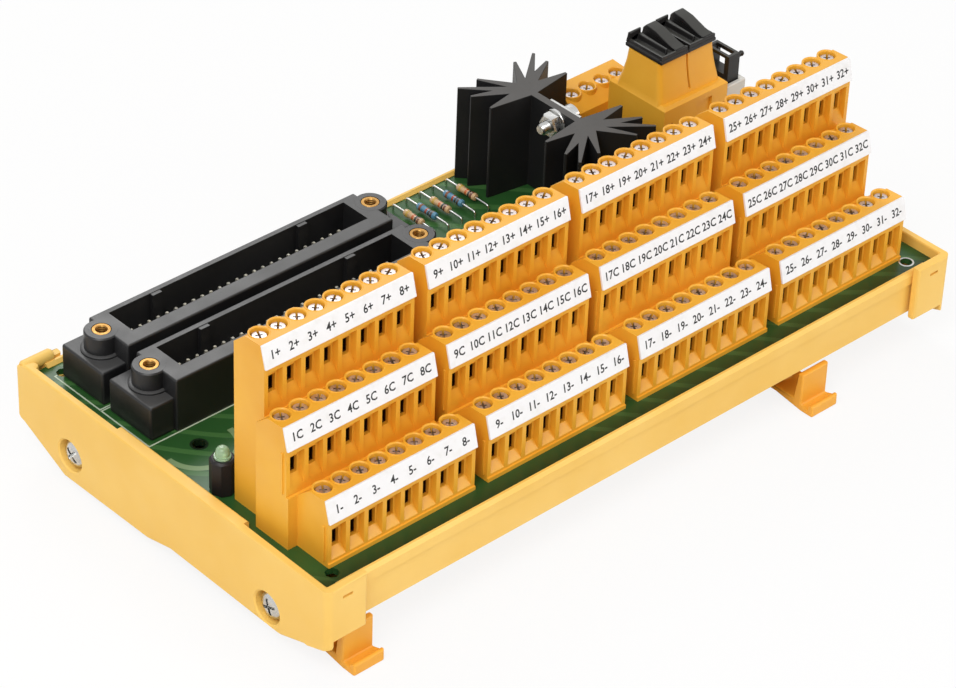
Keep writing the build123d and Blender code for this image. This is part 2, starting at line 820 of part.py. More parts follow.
# Fuse carriers: finger cap, plug that fills the well's mouth and a cup for the fuse
plug_x = well_x - 2 * carrier_gap
plug_y = well_y - 2 * carrier_gap
fuse_top = fuse_foot_z + fuse_length
plug_bottom = fuse_top - 5.0
cap_x, cap_y, cap_height = carrier_cap
for number, centre in enumerate(tower_centres, start=1):
    with BuildPart() as carrier:
        with BuildSketch(Plane.XY.offset(plug_bottom)):
            with Locations((centre, tower_mid_y)):
                Rectangle(plug_x, plug_y)
        extrude(amount=tower_top - plug_bottom)
        with BuildSketch(Plane.XY.offset(tower_top)):
            with Locations((centre, tower_mid_y)):
                Rectangle(cap_x, cap_y)
        extrude(amount=1.2)
        with BuildSketch(Plane.YZ.offset(centre - cap_x / 2 + 0.7)):
            with BuildLine():
                low_z = tower_top + 1.2
                front = tower_mid_y - cap_y / 2 + 0.8
                back = tower_mid_y + cap_y / 2 - 0.8
                Polyline(
                    (front, low_z),
                    (front, low_z + 1.6),
                    (front + 2.6, low_z + 1.6),
                    (front + 3.4, low_z + 0.8),
                    (front + 5.0, low_z + 0.8),
                    (front + 6.0, tower_top + cap_height),
                    (back - 1.2, tower_top + cap_height),
                    (back, low_z + 1.6),
                    (back, low_z),
                    close=True,
                )
            make_face()
        extrude(amount=cap_x - 1.4)
        with BuildSketch(Plane.XY.offset(plug_bottom)):
            with Locations((centre, tower_mid_y)):
                RegularPolygon(fuse_d / 2 + 0.02, 8)
        extrude(amount=fuse_top - plug_bottom, mode=Mode.SUBTRACT)
    finish(carrier, f"fuse_carrier_{number}")

    with BuildPart() as fuse:
        with BuildSketch(Plane.XY.offset(fuse_foot_z)):
            with Locations((centre, tower_mid_y)):
                RegularPolygon(fuse_d / 2, 8)
        extrude(amount=fuse_length)
    finish(fuse, f"fuse_{number}")

with BuildPart() as fuse_contacts:
    for centre in tower_centres:
        with BuildSketch(Plane.XY.offset(well_floor)):
            with Locations((centre, tower_mid_y)):
                Rectangle(well_x, well_y)
        extrude(amount=7.0)
        with BuildSketch(Plane.XY.offset(fuse_foot_z)):
            with Locations((centre, tower_mid_y)):
                RegularPolygon(fuse_d / 2 + 0.1, 8)
        extrude(amount=8.0, mode=Mode.SUBTRACT)
finish(fuse_contacts, "fuse_contacts")


# Link socket beside the fuses, with a pull-out link plug
link_mid_x = sum(link_x) / 2
link_mid_y = sum(link_y) / 2
link_wall = 1.2
link_well_depth = 10.0
link_size_x = link_x[1] - link_x[0]
link_size_y = link_y[1] - link_y[0]
with BuildPart() as link_socket:
    with BuildSketch(Plane.XY.offset(board_top)):
        with Locations((link_mid_x, link_mid_y)):
            Rectangle(link_size_x, link_size_y)
    extrude(amount=link_top - board_top)
    with BuildSketch(Plane.XY.offset(link_top)):
        with Locations((link_mid_x, link_mid_y)):
            Rectangle(link_size_x - 2 * link_wall, link_size_y - 2 * link_wall)
    extrude(amount=-link_well_depth, mode=Mode.SUBTRACT)
finish(link_socket, "link_socket")

link_plug_x = link_size_x - 2 * link_wall - 2 * carrier_gap
link_plug_y = link_size_y - 2 * link_wall - 2 * carrier_gap
with BuildPart() as link_plug:
    with BuildSketch(Plane.YZ.offset(link_mid_x - link_plug_x / 2)):
        with BuildLine():
            Polyline(
                (link_mid_y - link_plug_y / 2, link_top - link_well_depth),
                (link_mid_y - link_plug_y / 2, link_plug_top),
                (link_mid_y + link_plug_y / 2, link_plug_top),
                (link_mid_y + link_plug_y / 2, link_top - link_well_depth),
                close=True,
            )
        make_face()
        with Locations((link_mid_y, (link_top + link_plug_top) / 2 + 0.4)):
            Rectangle(link_plug_y - 2.8, link_plug_top - link_top - 2.8, mode=Mode.SUBTRACT)
    extrude(amount=link_plug_x)
finish(link_plug, "link_plug")


# Status lamp on its spacer
lens_r = led_lens_d / 2
lamp_z = board_top + led_spacer_height
with BuildPart() as led_spacer:
    with BuildSketch(Plane.XY.offset(board_top)):
        with Locations((led_x, led_y)):
            RegularPolygon(led_spacer_d / 2, round_sides)
    extrude(amount=led_spacer_height)
finish(led_spacer, "led_spacer")

flange_thick = 0.8
flange_reach = 0.6
dome_rise = led_height - led_spacer_height - flange_thick
dome_shoulder = 0.45 * dome_rise
with BuildPart() as led_lens:
    with BuildSketch(Plane.XY.offset(lamp_z)):
        with Locations((led_x, led_y)):
            RegularPolygon(lens_r + flange_reach, round_sides)
    extrude(amount=flange_thick)
    with BuildSketch(Plane.XY.offset(lamp_z + flange_thick)):
        with Locations((led_x, led_y)):
            RegularPolygon(lens_r, round_sides)
    extrude(amount=dome_shoulder)
    with BuildSketch(Plane.XY.offset(lamp_z + flange_thick + dome_shoulder)):
        with Locations((led_x, led_y)):
            RegularPolygon(lens_r, round_sides)
    extrude(amount=dome_rise - dome_shoulder, taper=38)
finish(led_lens, "led_lens")


# Small components across the board's back edge: bodies and bent leads
body_d, body_length = resistor_body
body_y = sum(resistor_y) / 2
body_z = board_top + resistor_lift
groups = {
    "resistors_blue": resistor_x[0::2],
    "resistors_tan": resistor_x[1::2],
}
for name, places in groups.items():
    with BuildPart() as bodies:
        with BuildSketch(Plane.XZ.offset(-(body_y - body_length / 2))):
            with Locations(*[(x, body_z) for x in places]):
                RegularPolygon(body_d / 2, 8, major_radius=False, rotation=22.5)
        extrude(amount=-body_length)
    finish(bodies, name)

with BuildPart() as leads:
    for x in resistor_x:
        with BuildSketch(Plane.YZ.offset(x - lead_d / 2)):
            for end in (-1, 1):
                inner = body_y + end * body_length / 2
                outer = body_y + end * (resistor_y[1] - resistor_y[0]) / 2
                with BuildLine():
                    Polyline(
                        (inner, body_z - lead_d / 2),
                        (inner, body_z + lead_d / 2),
                        (outer, body_z + lead_d / 2),
                        (outer, board_top),
                        (outer - end * lead_d, board_top),
                        (outer - end * lead_d, body_z - lead_d / 2),
                        close=True,
                    )
                make_face()
        extrude(amount=lead_d)
finish(leads, "resistor_leads")
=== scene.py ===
"""Terminal interface module: looks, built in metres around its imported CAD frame."""

import logging
import math
import random
from dataclasses import dataclass, field
from enum import Enum
from typing import Sequence

import bpy
from mathutils import Matrix, Vector


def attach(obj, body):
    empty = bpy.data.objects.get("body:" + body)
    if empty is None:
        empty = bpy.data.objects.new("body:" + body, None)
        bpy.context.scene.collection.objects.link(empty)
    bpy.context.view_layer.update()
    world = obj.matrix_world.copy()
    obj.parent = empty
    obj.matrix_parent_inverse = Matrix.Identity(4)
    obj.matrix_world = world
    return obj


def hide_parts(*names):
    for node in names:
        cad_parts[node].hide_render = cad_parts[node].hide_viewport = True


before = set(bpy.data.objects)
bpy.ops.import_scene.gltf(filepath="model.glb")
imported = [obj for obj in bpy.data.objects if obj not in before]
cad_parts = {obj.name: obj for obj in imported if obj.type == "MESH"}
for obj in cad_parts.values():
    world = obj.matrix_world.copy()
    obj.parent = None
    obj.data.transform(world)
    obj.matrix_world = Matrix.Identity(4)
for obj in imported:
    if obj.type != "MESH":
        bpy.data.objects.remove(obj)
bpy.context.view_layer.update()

MM = 0.001
MICRON = 0.000001
SHARP = 32.0
EVEN_NORMALS = {"keep_sharp": True, "weight": 70}
MODULE = "module"
Pair = tuple[float, float]
Point = tuple[float, float, float]
Four = tuple[float, float, float, float]
Colour = tuple[float, float, float]
Outline = Sequence[Pair]
Piece = bpy.types.Object
Material = bpy.types.Material
log = logging.getLogger("module_looks")


class Way(Enum):
    """The axis that a turned or extruded piece points along."""

    X = "x"
    BACK_X = "-x"
    Y = "y"
    Z = "z"

    def turn(self) -> Matrix:
        """Gives the rotation that takes Z to this axis."""
        angles = {
            Way.X: Matrix.Rotation(math.pi / 2, 4, "Y"),
            Way.BACK_X: Matrix.Rotation(-math.pi / 2, 4, "Y"),
            Way.Y: Matrix.Rotation(-math.pi / 2, 4, "X"),
            Way.Z: Matrix.Identity(4),
        }
        return angles[self]


def paint(screen: Colour, share: float = 1.0) -> Four:
    """Turns an 8-bit screen colour into the linear one that shaders take.

    Args:
        screen: Red, green and blue, 0 to 255.
        share: How much of the light it keeps.

    Returns:
        The linear colour with a full alpha.
    """
    return (*(share * ((value / 255 + 0.055) / 1.055) ** 2.4 for value in screen), 1.0)


class Signal:
    """A shader socket with the arithmetic that the finishes use."""

    def __init__(self, shader: "Shader", socket: bpy.types.NodeSocket) -> None:
        """Keeps the socket and the shader it belongs to."""
        self.shader = shader
        self.socket = socket

    def _math(self, operation: str, first: object, second: object = 0.0) -> "Signal":
        """Adds one Math node.

        Args:
            operation: The node's operation.
            first: Its first value.
            second: Its second value.

        Returns:
            The result.
        """
        return self.shader.node("ShaderNodeMath", {"operation": operation}, {0: first, 1: second})

    def __add__(self, other: object) -> "Signal":
        """Adds."""
        return self._math("ADD", self, other)

    def __sub__(self, other: object) -> "Signal":
        """Takes away."""
        return self._math("SUBTRACT", self, other)

    def __rsub__(self, other: object) -> "Signal":
        """Is taken away."""
        return self._math("SUBTRACT", other, self)

    def __mul__(self, other: object) -> "Signal":
        """Multiplies."""
        return self._math("MULTIPLY", self, other)

    def __gt__(self, other: object) -> "Signal":
        """Gives 1 where this is the greater."""
        return self._math("GREATER_THAN", self, other)

    def __lt__(self, other: object) -> "Signal":
        """Gives 1 where this is the lesser."""
        return self._math("LESS_THAN", self, other)

    def __abs__(self) -> "Signal":
        """Drops the sign."""
        return self._math("ABSOLUTE", self)

    def most(self, other: object) -> "Signal":
        """Keeps the greater of the two."""
        return self._math("MAXIMUM", self, other)

    __radd__ = __add__
    __rmul__ = __mul__


class Shader:
    """A material's node tree, built up by the finishes."""

    def __init__(self, name: str) -> None:
        """Starts a material with one Principled shader."""
        self.material = bpy.data.materials.new(name)
        self.material.use_nodes = True
        self.tree = self.material.node_tree
        self.surface = self.tree.nodes["Principled BSDF"]

    def node(self, kind: str, settings: dict[str, object], inputs: dict, output: int | str = 0) -> Signal:
        """Adds a node.

        Args:
            kind: The node's type.
            settings: Its own settings, set first.
            inputs: Values or signals by socket name or index.
            output: The output wanted.

        Returns:
            That output.
        """
        made = self.tree.nodes.new(kind)
        for key, value in settings.items():
            setattr(made, key, value)
        self.feed(made, inputs)
        return Signal(self, made.outputs[output])

    def feed(self, made: bpy.types.Node, inputs: dict) -> None:
        """Sets or links a node's inputs.

        Args:
            made: The node.
            inputs: Values or signals by socket name or index.
        """
        for key, value in inputs.items():
            if isinstance(value, Signal):
                self.tree.links.new(value.socket, made.inputs[key])
            else:
                made.inputs[key].default_value = value

    def shine(self, inputs: dict) -> None:
        """Feeds the Principled shader."""
        self.feed(self.surface, inputs)

    def spot(self) -> Signal:
        """Gives the object coordinates."""
        return self.node("ShaderNodeTexCoord", {}, {}, "Object")

    def part(self, vector: Signal, index: int) -> Signal:
        """Gives one component of a vector."""
        return self.node("ShaderNodeSeparateXYZ", {}, {0: vector}, index)

    def noise(self, scale: float, detail: float = 2.0) -> Signal:
        """Gives a noise field in object space.

        Args:
            scale: Cells in a metre.
            detail: Octaves.

        Returns:
            The noise, 0 to 1.
        """
        return self.node("ShaderNodeTexNoise", {}, {"Vector": self.spot(), "Scale": scale, "Detail": detail})

    def spread(
        self, value: Signal, low: float, high: float, to_low: float = 0.0, to_high: float = 1.0
    ) -> Signal:
        """Maps a range onto another and clamps it.

        Args:
            value: What is mapped.
            low: Start of the range.
            high: Its end.
            to_low: What the start becomes.
            to_high: What the end becomes.

        Returns:
            The mapped signal.
        """
        inputs = {"Value": value, "From Min": low, "From Max": high, "To Min": to_low, "To Max": to_high}
        return self.node("ShaderNodeMapRange", {}, inputs)

    def blend(self, mask: Signal, first: object, second: object) -> Signal:
        """Mixes two colours.

        Args:
            mask: 0 for the first, 1 for the second.
            first: A colour or signal.
            second: A colour or signal.

        Returns:
            The mixed colour.
        """
        return self.node("ShaderNodeMix", {"data_type": "RGBA"}, {0: mask, 6: first, 7: second}, 2)

    def upward(self) -> Signal:
        """Gives how far the surface faces up, 0 to 1."""
        normal = self.node("ShaderNodeNewGeometry", {}, {}, "Normal")
        return self.spread(self.part(normal, 2), 0.75, 0.98)

    def relief(self, height: Signal, strength: float, depth: float) -> None:
        """Bumps the surface.

        Args:
            height: The height field.
            strength: How strongly it shows.
            depth: Its depth in metres.
        """
        inputs = {"Height": height, "Strength": strength, "Distance": depth}
        self.shine({"Normal": self.node("ShaderNodeBump", {}, inputs)})


@dataclass(frozen=True)
class Moulded:
    """Injection-moulded plastic with a fine spark-eroded grain, and a painted highlight on faces that point
    up where top is given.
    """

    name: str
    colour: Colour
    shade: Colour
    roughness: float = 0.42
    grain: float = 0.25
    # top: colour of a painted highlight on faces that point up, standing in for light from above.
    top: Colour | None = None
    sheen: float = 0.45

    def material(self) -> Material:
        """Builds the material."""
        shader = Shader(self.name)
        cloud = shader.spread(shader.noise(38.0, 3.0), 0.35, 0.68)
        tone = shader.blend(cloud, paint(self.colour), paint(self.shade))
        # Painted highlight: faces that point up blend towards top, as if lit from above.
        if self.top is not None:
            tone = shader.blend(shader.upward() * 0.8, tone, paint(self.top))
        flecks = shader.spread(shader.noise(900.0, 1.0), 0.62, 0.8) * 0.12
        tone = shader.blend(flecks, tone, paint(self.shade))
        gloss = shader.noise(160.0, 2.0)
        rough = shader.spread(gloss, 0.3, 0.7, self.roughness - 0.05, self.roughness + 0.07)
        shader.shine({"Base Color": tone, "Roughness": rough, "IOR": 1.5, "Specular IOR Level": self.sheen})
        shader.relief(shader.noise(5200.0, 2.0), self.grain, 0.00006)
        return shader.material


@dataclass(frozen=True)
class Metal:
    """Plated or turned metal with fine tool marks."""

    name: str
    colour: Colour
    shade: Colour
    roughness: float = 0.28
    marks: float = 900.0

    def material(self) -> Material:
        """Builds the material."""
        shader = Shader(self.name)
        stain = shader.spread(shader.noise(210.0, 3.0), 0.4, 0.75)
        tone = shader.blend(stain, paint(self.colour), paint(self.shade))
        marks = shader.noise(self.marks, 3.0)
        rough = shader.spread(marks, 0.3, 0.75, self.roughness - 0.07, self.roughness + 0.12)
        shader.shine({"Base Color": tone, "Roughness": rough, "Metallic": 1.0})
        shader.relief(shader.noise(self.marks * 3.0, 2.0), 0.12, 0.00005)
        return shader.material


@dataclass(frozen=True)
class Ink:
    """Printed ink, slightly uneven."""

    name: str
    colour: Colour

    def material(self) -> Material:
        """Builds the material."""
        shader = Shader(self.name)
        wear = shader.spread(shader.noise(1500.0, 2.0), 0.55, 0.85) * 0.25
        tone = shader.blend(wear, paint(self.colour), paint((90, 88, 86)))
        shader.shine({"Base Color": tone, "Roughness": 0.55})
        return shader.material


@dataclass(frozen=True)
class Card:
    """Matt white marking strip, a little uneven."""

    name: str
    colour: Colour

    def material(self) -> Material:
        """Builds the material."""
        shader = Shader(self.name)
        dust = shader.spread(shader.noise(420.0, 3.0), 0.5, 0.8) * 0.3
        tone = shader.blend(dust, paint(self.colour), paint((214, 210, 202)))
        shader.shine({"Base Color": tone, "Roughness": 0.6})
        shader.relief(shader.noise(2600.0, 2.0), 0.15, 0.00004)
        return shader.material


@dataclass(frozen=True)
class SolderMask:
    """Green board lacquer with copper tracks under it and white print outlines on it, a painted shadow along
    its front edge and a painted dark hole.
    """

    name: str
    base: Colour
    track: Colour
    print_white: Colour
    frames: tuple[Four, ...]
    band_green: Colour = (150, 176, 130)
    # shaded: colour of the painted shadow along the front edge.
    shaded: Colour = (22, 34, 22)
    # bore: colour of a painted dark disc that stands in for the shaded inside of a hole.
    bore: Colour = (16, 18, 16)
    hole: Pair = (-82.3, 26.1)
    hole_radius: float = 2.1
    band: float = 8.6
    band_half: float = 0.8
    line_half: float = 0.19
    lane: float = 4.8
    lane_half: float = 1.1
    face: float = 17.7
    # shadow: y where the painted shadow is darkest, and y where it fades out.
    shadow: Pair = (-29.5, -22.5)

    def _away(self, shader: Shader, x: Signal, y: Signal, middle: Pair) -> Signal:
        """Measures how far the surface is from a point of the board.

        Args:
            shader: The shader.
            x: Position along the board.
            y: Position across it.
            middle: The point, in millimetres.

        Returns:
            The distance in metres.
        """
        across, along = x - middle[0] * MM, y - middle[1] * MM
        return shader.node("ShaderNodeMath", {"operation": "SQRT"}, {0: across * across + along * along})

    def _outline(self, x: Signal, y: Signal, box: Four) -> Signal:
        """Masks a thin rectangle.

        Args:
            x: Position along the board.
            y: Position across it.
            box: Low x, low y, high x, high y in millimetres.

        Returns:
            1 on the line.
        """
        low_x, low_y, high_x, high_y = (value * MM for value in box)
        across = abs(x - (low_x + high_x) / 2) - (high_x - low_x) / 2
        along = abs(y - (low_y + high_y) / 2) - (high_y - low_y) / 2
        return abs(across.most(along)) < self.line_half * MM

    def material(self) -> Material:
        """Builds the material."""
        shader = Shader(self.name)
        spot = shader.spot()
        x, y, z = (shader.part(spot, index) for index in range(3))
        warp = shader.noise(24.0, 0.0) * 0.02
        lanes = shader.node("ShaderNodeMath", {"operation": "PINGPONG"}, {0: x + y + warp, 1: self.lane * MM})
        tracks = (lanes < self.lane_half * MM) * (shader.noise(19.0, 0.0) > 0.5)
        cloud = shader.spread(shader.noise(60.0, 3.0), 0.3, 0.7) * 0.4
        tone = shader.blend(cloud, paint(self.base), paint(self.base, 0.72))
        # Painted shadow: the board darkens towards its front edge, where the tiers shade it.
        near, far = self.shadow
        edge = shader.spread(y, near * MM, far * MM, 0.78, 0.0)
        tone = shader.blend(tracks * 0.7, tone, paint(self.track))
        tone = shader.blend(edge, tone, paint(self.shaded))
        top = z > self.face * MM
        lines = self._outline(x, y, self.frames[0])
        for box in self.frames[1:]:
            lines = lines.most(self._outline(x, y, box))
        tone = shader.blend(lines * top * 0.9, tone, paint(self.print_white))
        away = self._away(shader, x, y, self.hole)
        band = (abs(away - self.band * MM) < self.band_half * MM) * (y < self.hole[1] * MM)
        tone = shader.blend(band * top * 0.6, tone, paint(self.band_green))
        # Painted shade: a dark disc stands in for the shaded inside of a hole.
        tone = shader.blend((away < self.hole_radius * MM) * 0.85, tone, paint(self.bore))
        shader.shine({"Base Color": tone, "Roughness": shader.spread(lines, 0.0, 1.0, 0.3, 0.6)})
        shader.shine({"Specular IOR Level": 0.3, "Coat Weight": 0.06, "Coat Roughness": 0.3})
        shader.relief(tracks, 0.5, 0.00006)
        return shader.material


@dataclass(frozen=True)
class Lens:
    """Tinted clear resin of the status lamp."""

    name: str
    colour: Colour

    def material(self) -> Material:
        """Builds the material."""
        shader = Shader(self.name)
        haze = shader.spread(shader.noise(700.0, 2.0), 0.4, 0.8) * 0.4
        tone = shader.blend(haze, paint(self.colour), paint((190, 214, 190)))
        shader.shine({"Base Color": tone, "Roughness": 0.12, "Transmission Weight": 0.35, "IOR": 1.45})
        return shader.material


@dataclass(frozen=True)
class GlassFuse:
    """Glass tube with metal end caps, told apart by height."""

    name: str
    low: float
    high: float

    def material(self) -> Material:
        """Builds the material."""
        shader = Shader(self.name)
        z = shader.part(shader.spot(), 2)
        caps = (z < self.low * MM).most(z > self.high * MM)
        stain = shader.spread(shader.noise(500.0, 2.0), 0.4, 0.8) * 0.3
        metal = shader.blend(stain, paint((205, 205, 200)), paint((160, 158, 150)))
        tone = shader.blend(caps, paint((214, 222, 220)), metal)
        rough = shader.spread(caps, 0, 1, 0.06, 0.28)
        shader.shine({"Base Color": tone, "Metallic": caps, "Roughness": rough})
        return shader.material


@dataclass(frozen=True)
class Banded:
    """Lacquered resistor body with colour bands round it."""

    name: str
    colour: Colour
    bands: tuple[tuple[float, Colour], ...]
    middle: float = 60.2
    width: float = 0.34

    def material(self) -> Material:
        """Builds the material."""
        shader = Shader(self.name)
        y = shader.part(shader.spot(), 1)
        cloud = shader.spread(shader.noise(900.0, 2.0), 0.4, 0.7) * 0.3
        tone = shader.blend(cloud, paint(self.colour), paint(self.colour, 0.75))
        for offset, colour in self.bands:
            ring = abs(y - (self.middle + offset) * MM) < self.width * MM
            tone = shader.blend(ring, tone, paint(colour))
        shader.shine({"Base Color": tone, "Roughness": 0.3, "Coat Weight": 0.4, "Coat Roughness": 0.12})
        shader.relief(shader.noise(1300.0, 1.0), 0.1, 0.00005)
        return shader.material


class Bench:
    """Modelling steps, each done with Blender's own operators, in millimetres."""

    @staticmethod
    def rest() -> None:
        """Leaves edit mode and deselects everything."""
        if bpy.context.object is not None and bpy.context.object.mode != "OBJECT":
            bpy.ops.object.mode_set(mode="OBJECT")
        bpy.ops.object.select_all(action="DESELECT")

    @staticmethod
    def hang(piece: Piece) -> None:
        """Puts a new object into the scene."""
        bpy.context.scene.collection.objects.link(piece)

    @staticmethod
    def freeze(name: str) -> Piece:
        """Names the object just made and applies its place and scale.

        Args:
            name: Its name.

        Returns:
            The object.
        """
        piece = bpy.context.object
        piece.name = name
        bpy.ops.object.transform_apply(location=True, rotation=True, scale=True)
        return piece

    @staticmethod
    def take(piece: Piece) -> None:
        """Selects one piece and makes it active."""
        Bench.rest()
        piece.select_set(True)
        bpy.context.view_layer.objects.active = piece

    @staticmethod
    def edit(piece: Piece, kind: str = "VERT", action: str = "SELECT") -> None:
        """Opens a piece in edit mode.

        Args:
            piece: The piece.
            kind: What is picked: VERT, EDGE or FACE.
            action: SELECT or DESELECT, done to all of it.
        """
        Bench.take(piece)
        bpy.ops.object.mode_set(mode="EDIT")
        bpy.ops.mesh.select_mode(type=kind)
        bpy.ops.mesh.select_all(action=action)

    @staticmethod
    def close() -> None:
        """Turns every face outwards and leaves edit mode."""
        bpy.ops.mesh.select_all(action="SELECT")
        bpy.ops.mesh.normals_make_consistent(inside=False)
        Bench.rest()

    @staticmethod
    def settle(piece: Piece, place: Matrix) -> Piece:
        """Moves a piece's mesh and leaves its object at the origin.

        Args:
            piece: The piece.
            place: The move, in metres.

        Returns:
            The piece.
        """
        piece.data.transform(place @ piece.matrix_world)
        piece.matrix_world = Matrix.Identity(4)
        piece.data.update()
        return piece

    @staticmethod
    def box(name: str, low: Point, high: Point) -> Piece:
        """Adds a block.

        Args:
            name: Its name.
            low: Lowest corner.
            high: Highest corner.

        Returns:
            The block.
        """
        Bench.rest()
        middle = [(a + b) / 2 * MM for a, b in zip(low, high)]
        bpy.ops.mesh.primitive_cube_add(size=1.0, location=middle)
        bpy.context.object.scale = [(b - a) * MM for a, b in zip(low, high)]
        return Bench.freeze(name)

    @staticmethod
    def prism(name: str, outline: Outline, start: float, length: float) -> Piece:
        """Extrudes an outline of y and z along X.

        Args:
            name: Its name.
            outline: The corners.
            start: Where it starts along X.
            length: How far it goes.

        Returns:
            The prism.
        """
        Bench.rest()
        bpy.ops.mesh.primitive_circle_add(vertices=len(outline), fill_type="NGON")
        piece = bpy.context.object
        piece.name = name
        for corner, (y, z) in zip(piece.data.vertices, outline):
            corner.co = (start * MM, y * MM, z * MM)
        Bench.edit(piece)
        bpy.ops.mesh.extrude_region_move(TRANSFORM_OT_translate={"value": (length * MM, 0.0, 0.0)})
        Bench.close()
        return piece

    @staticmethod
    def upright(name: str, outline: Outline, low: float, high: float) -> Piece:
        """Extrudes an outline of x and y upwards.

        Args:
            name: Its name.
            outline: The corners.
            low: Where it starts along Z.
            high: Where it ends.

        Returns:
            The prism.
        """
        piece = Bench.prism(name, outline, low, high - low)
        return Bench.settle(piece, Matrix(((0, 1, 0, 0), (0, 0, 1, 0), (1, 0, 0, 0), (0, 0, 0, 1))))

    @staticmethod
    def loft(name: str, rings: Sequence[Point], middle: Pair, corner: float) -> Piece:
        """Stacks rounded rectangles of different sizes into one solid.

        Args:
            name: Its name.
            rings: Half width, half depth and height of each.
            middle: Their common middle.
            corner: Corner radius of the first.

        Returns:
            The solid.
        """
        Bench.rest()
        wide, deep, height = rings[0]
        steps = 6
        bpy.ops.mesh.primitive_circle_add(vertices=4 * steps, fill_type="NGON")
        piece = bpy.context.object
        piece.name = name
        for number, point in enumerate(piece.data.vertices):
            quarter, step = divmod(number, steps)
            angle = (quarter + step / (steps - 1)) * math.pi / 2
            hub_x = (wide - corner) * (1, -1, -1, 1)[quarter]
            hub_y = (deep - corner) * (1, 1, -1, -1)[quarter]
            x, y = hub_x + corner * math.cos(angle), hub_y + corner * math.sin(angle)
            point.co = (x * MM, y * MM, height * MM)
        Bench.edit(piece)
        for next_wide, next_deep, next_height in rings[1:]:
            rise = (next_height - height) * MM
            bpy.ops.mesh.extrude_region_move(TRANSFORM_OT_translate={"value": (0.0, 0.0, rise)})
            ratio = (next_wide / wide, next_deep / deep, 1.0)
            bpy.ops.transform.resize(value=ratio, center_override=(0.0, 0.0, next_height * MM))
            wide, deep, height = next_wide, next_deep, next_height
        Bench.close()
        return Bench.settle(piece, shift(*middle))

    @staticmethod
    def funnel(name: str, front: tuple[float, ...], back: tuple[float, ...]) -> Piece:
        """Extrudes an upright rectangle backwards along Y and narrows it.

        Args:
            name: Its name.
            front: Half width, y, low z and high z where it starts.
            back: The same where it ends.

        Returns:
            The funnel.
        """
        (wide, near, low, high), (narrow, far, end_low, end_high) = front, back
        piece = Bench.box(name, (-wide, near, low), (wide, far, high))
        Bench.edit(piece, "VERT", "DESELECT")
        Bench.rest()
        for corner in piece.data.vertices:
            corner.select = corner.co.y > (near + far) / 2 * MM
        Bench.take(piece)
        bpy.ops.object.mode_set(mode="EDIT")
        bpy.ops.mesh.select_mode(type="VERT")
        ratio = (narrow / wide, 1.0, (end_high - end_low) / (high - low))
        centre = (0.0, far * MM, (low + high) / 2 * MM)
        bpy.ops.transform.resize(value=ratio, center_override=centre)
        rise = ((end_low + end_high) - (low + high)) / 2 * MM
        bpy.ops.transform.translate(value=(0.0, 0.0, rise))
        Bench.rest()
        return piece

    @staticmethod
    def turned(name: str, rings: Outline, foot: Point, way: Way, sides: int = 32) -> Piece:
        """Extrudes and scales a disc ring by ring, as on a lathe.

        Args:
            name: Its name.
            rings: Radius and height of each ring.
            foot: Where height 0 stands.
            way: The axis.
            sides: Sides of the disc.

        Returns:
            The turned piece.
        """
        Bench.rest()
        radius, height = rings[0]
        disc = {"vertices": sides, "radius": radius * MM, "fill_type": "NGON"}
        bpy.ops.mesh.primitive_circle_add(**disc, location=(0, 0, height * MM))
        piece = Bench.freeze(name)
        Bench.edit(piece)
        for next_radius, next_height in rings[1:]:
            rise = (next_height - height) * MM
            bpy.ops.mesh.extrude_region_move(TRANSFORM_OT_translate={"value": (0.0, 0.0, rise)})
            ratio = next_radius / radius
            centre = (0.0, 0.0, next_height * MM)
            bpy.ops.transform.resize(value=(ratio, ratio, 1.0), center_override=centre)
            radius, height = next_radius, next_height
        Bench.close()
        place = Matrix.Translation(Vector(foot) * MM) @ way.turn()
        return Bench.settle(piece, place)

    @staticmethod
    def apply(piece: Piece, kind: str, settings: dict[str, object]) -> None:
        """Adds a modifier and applies it.

        Args:
            piece: The piece.
            kind: The modifier's type.
            settings: Its settings.
        """
        Bench.take(piece)
        modifier = piece.modifiers.new(kind.lower(), kind)
        for key, value in settings.items():
            setattr(modifier, key, value)
        bpy.ops.object.modifier_apply(modifier=modifier.name)

    @staticmethod
    def combine(piece: Piece, tool: Piece, operation: str) -> Piece:
        """Cuts with, or joins in, a second solid and throws that away.

        Args:
            piece: The piece that stays.
            tool: The solid used on it.
            operation: DIFFERENCE or UNION.

        Returns:
            The piece.
        """
        settings = {"operation": operation, "object": tool, "solver": "EXACT", "use_self": False}
        Bench.apply(piece, "BOOLEAN", settings)
        bpy.data.objects.remove(tool, do_unlink=True)
        return piece

    @staticmethod
    def cut(piece: Piece, tool: Piece) -> Piece:
        """Takes a second solid out of a piece."""
        return Bench.combine(piece, tool, "DIFFERENCE")

    @staticmethod
    def add(piece: Piece, tool: Piece) -> Piece:
        """Joins a second solid to a piece."""
        return Bench.combine(piece, tool, "UNION")

    @staticmethod
    def ease(piece: Piece, width: float, segments: int = 2) -> Piece:
        """Rounds the sharp edges and evens the shading.

        Args:
            piece: The piece.
            width: The rounding.
            segments: Its steps.

        Returns:
            The piece.
        """
        settings = {
            "width": width * MM,
            "segments": segments,
            "limit_method": "ANGLE",
            "angle_limit": math.radians(SHARP),
            "use_clamp_overlap": True,
        }
        Bench.apply(piece, "BEVEL", settings)
        Bench.smooth(piece, 50.0)
        Bench.apply(piece, "WEIGHTED_NORMAL", EVEN_NORMALS)
        return piece

    @staticmethod
    def round_upright(piece: Piece, corner: Pair, radius: float) -> Piece:
        """Rounds one upright outer corner.

        Args:
            piece: The piece.
            corner: Its x and y.
            radius: The rounding.

        Returns:
            The piece.
        """
        Bench.edit(piece, "EDGE", "DESELECT")
        bpy.ops.object.mode_set(mode="OBJECT")
        mesh = piece.data
        middle = Vector(corner) * MM
        for edge in mesh.edges:
            ends = [mesh.vertices[index].co for index in edge.vertices]
            edge.select = all((end.xy - middle).length < 0.05 * MM for end in ends)
        bpy.ops.object.mode_set(mode="EDIT")
        bpy.ops.mesh.bevel(offset=radius * MM, segments=6, affect="EDGES", clamp_overlap=True)
        Bench.rest()
        return piece

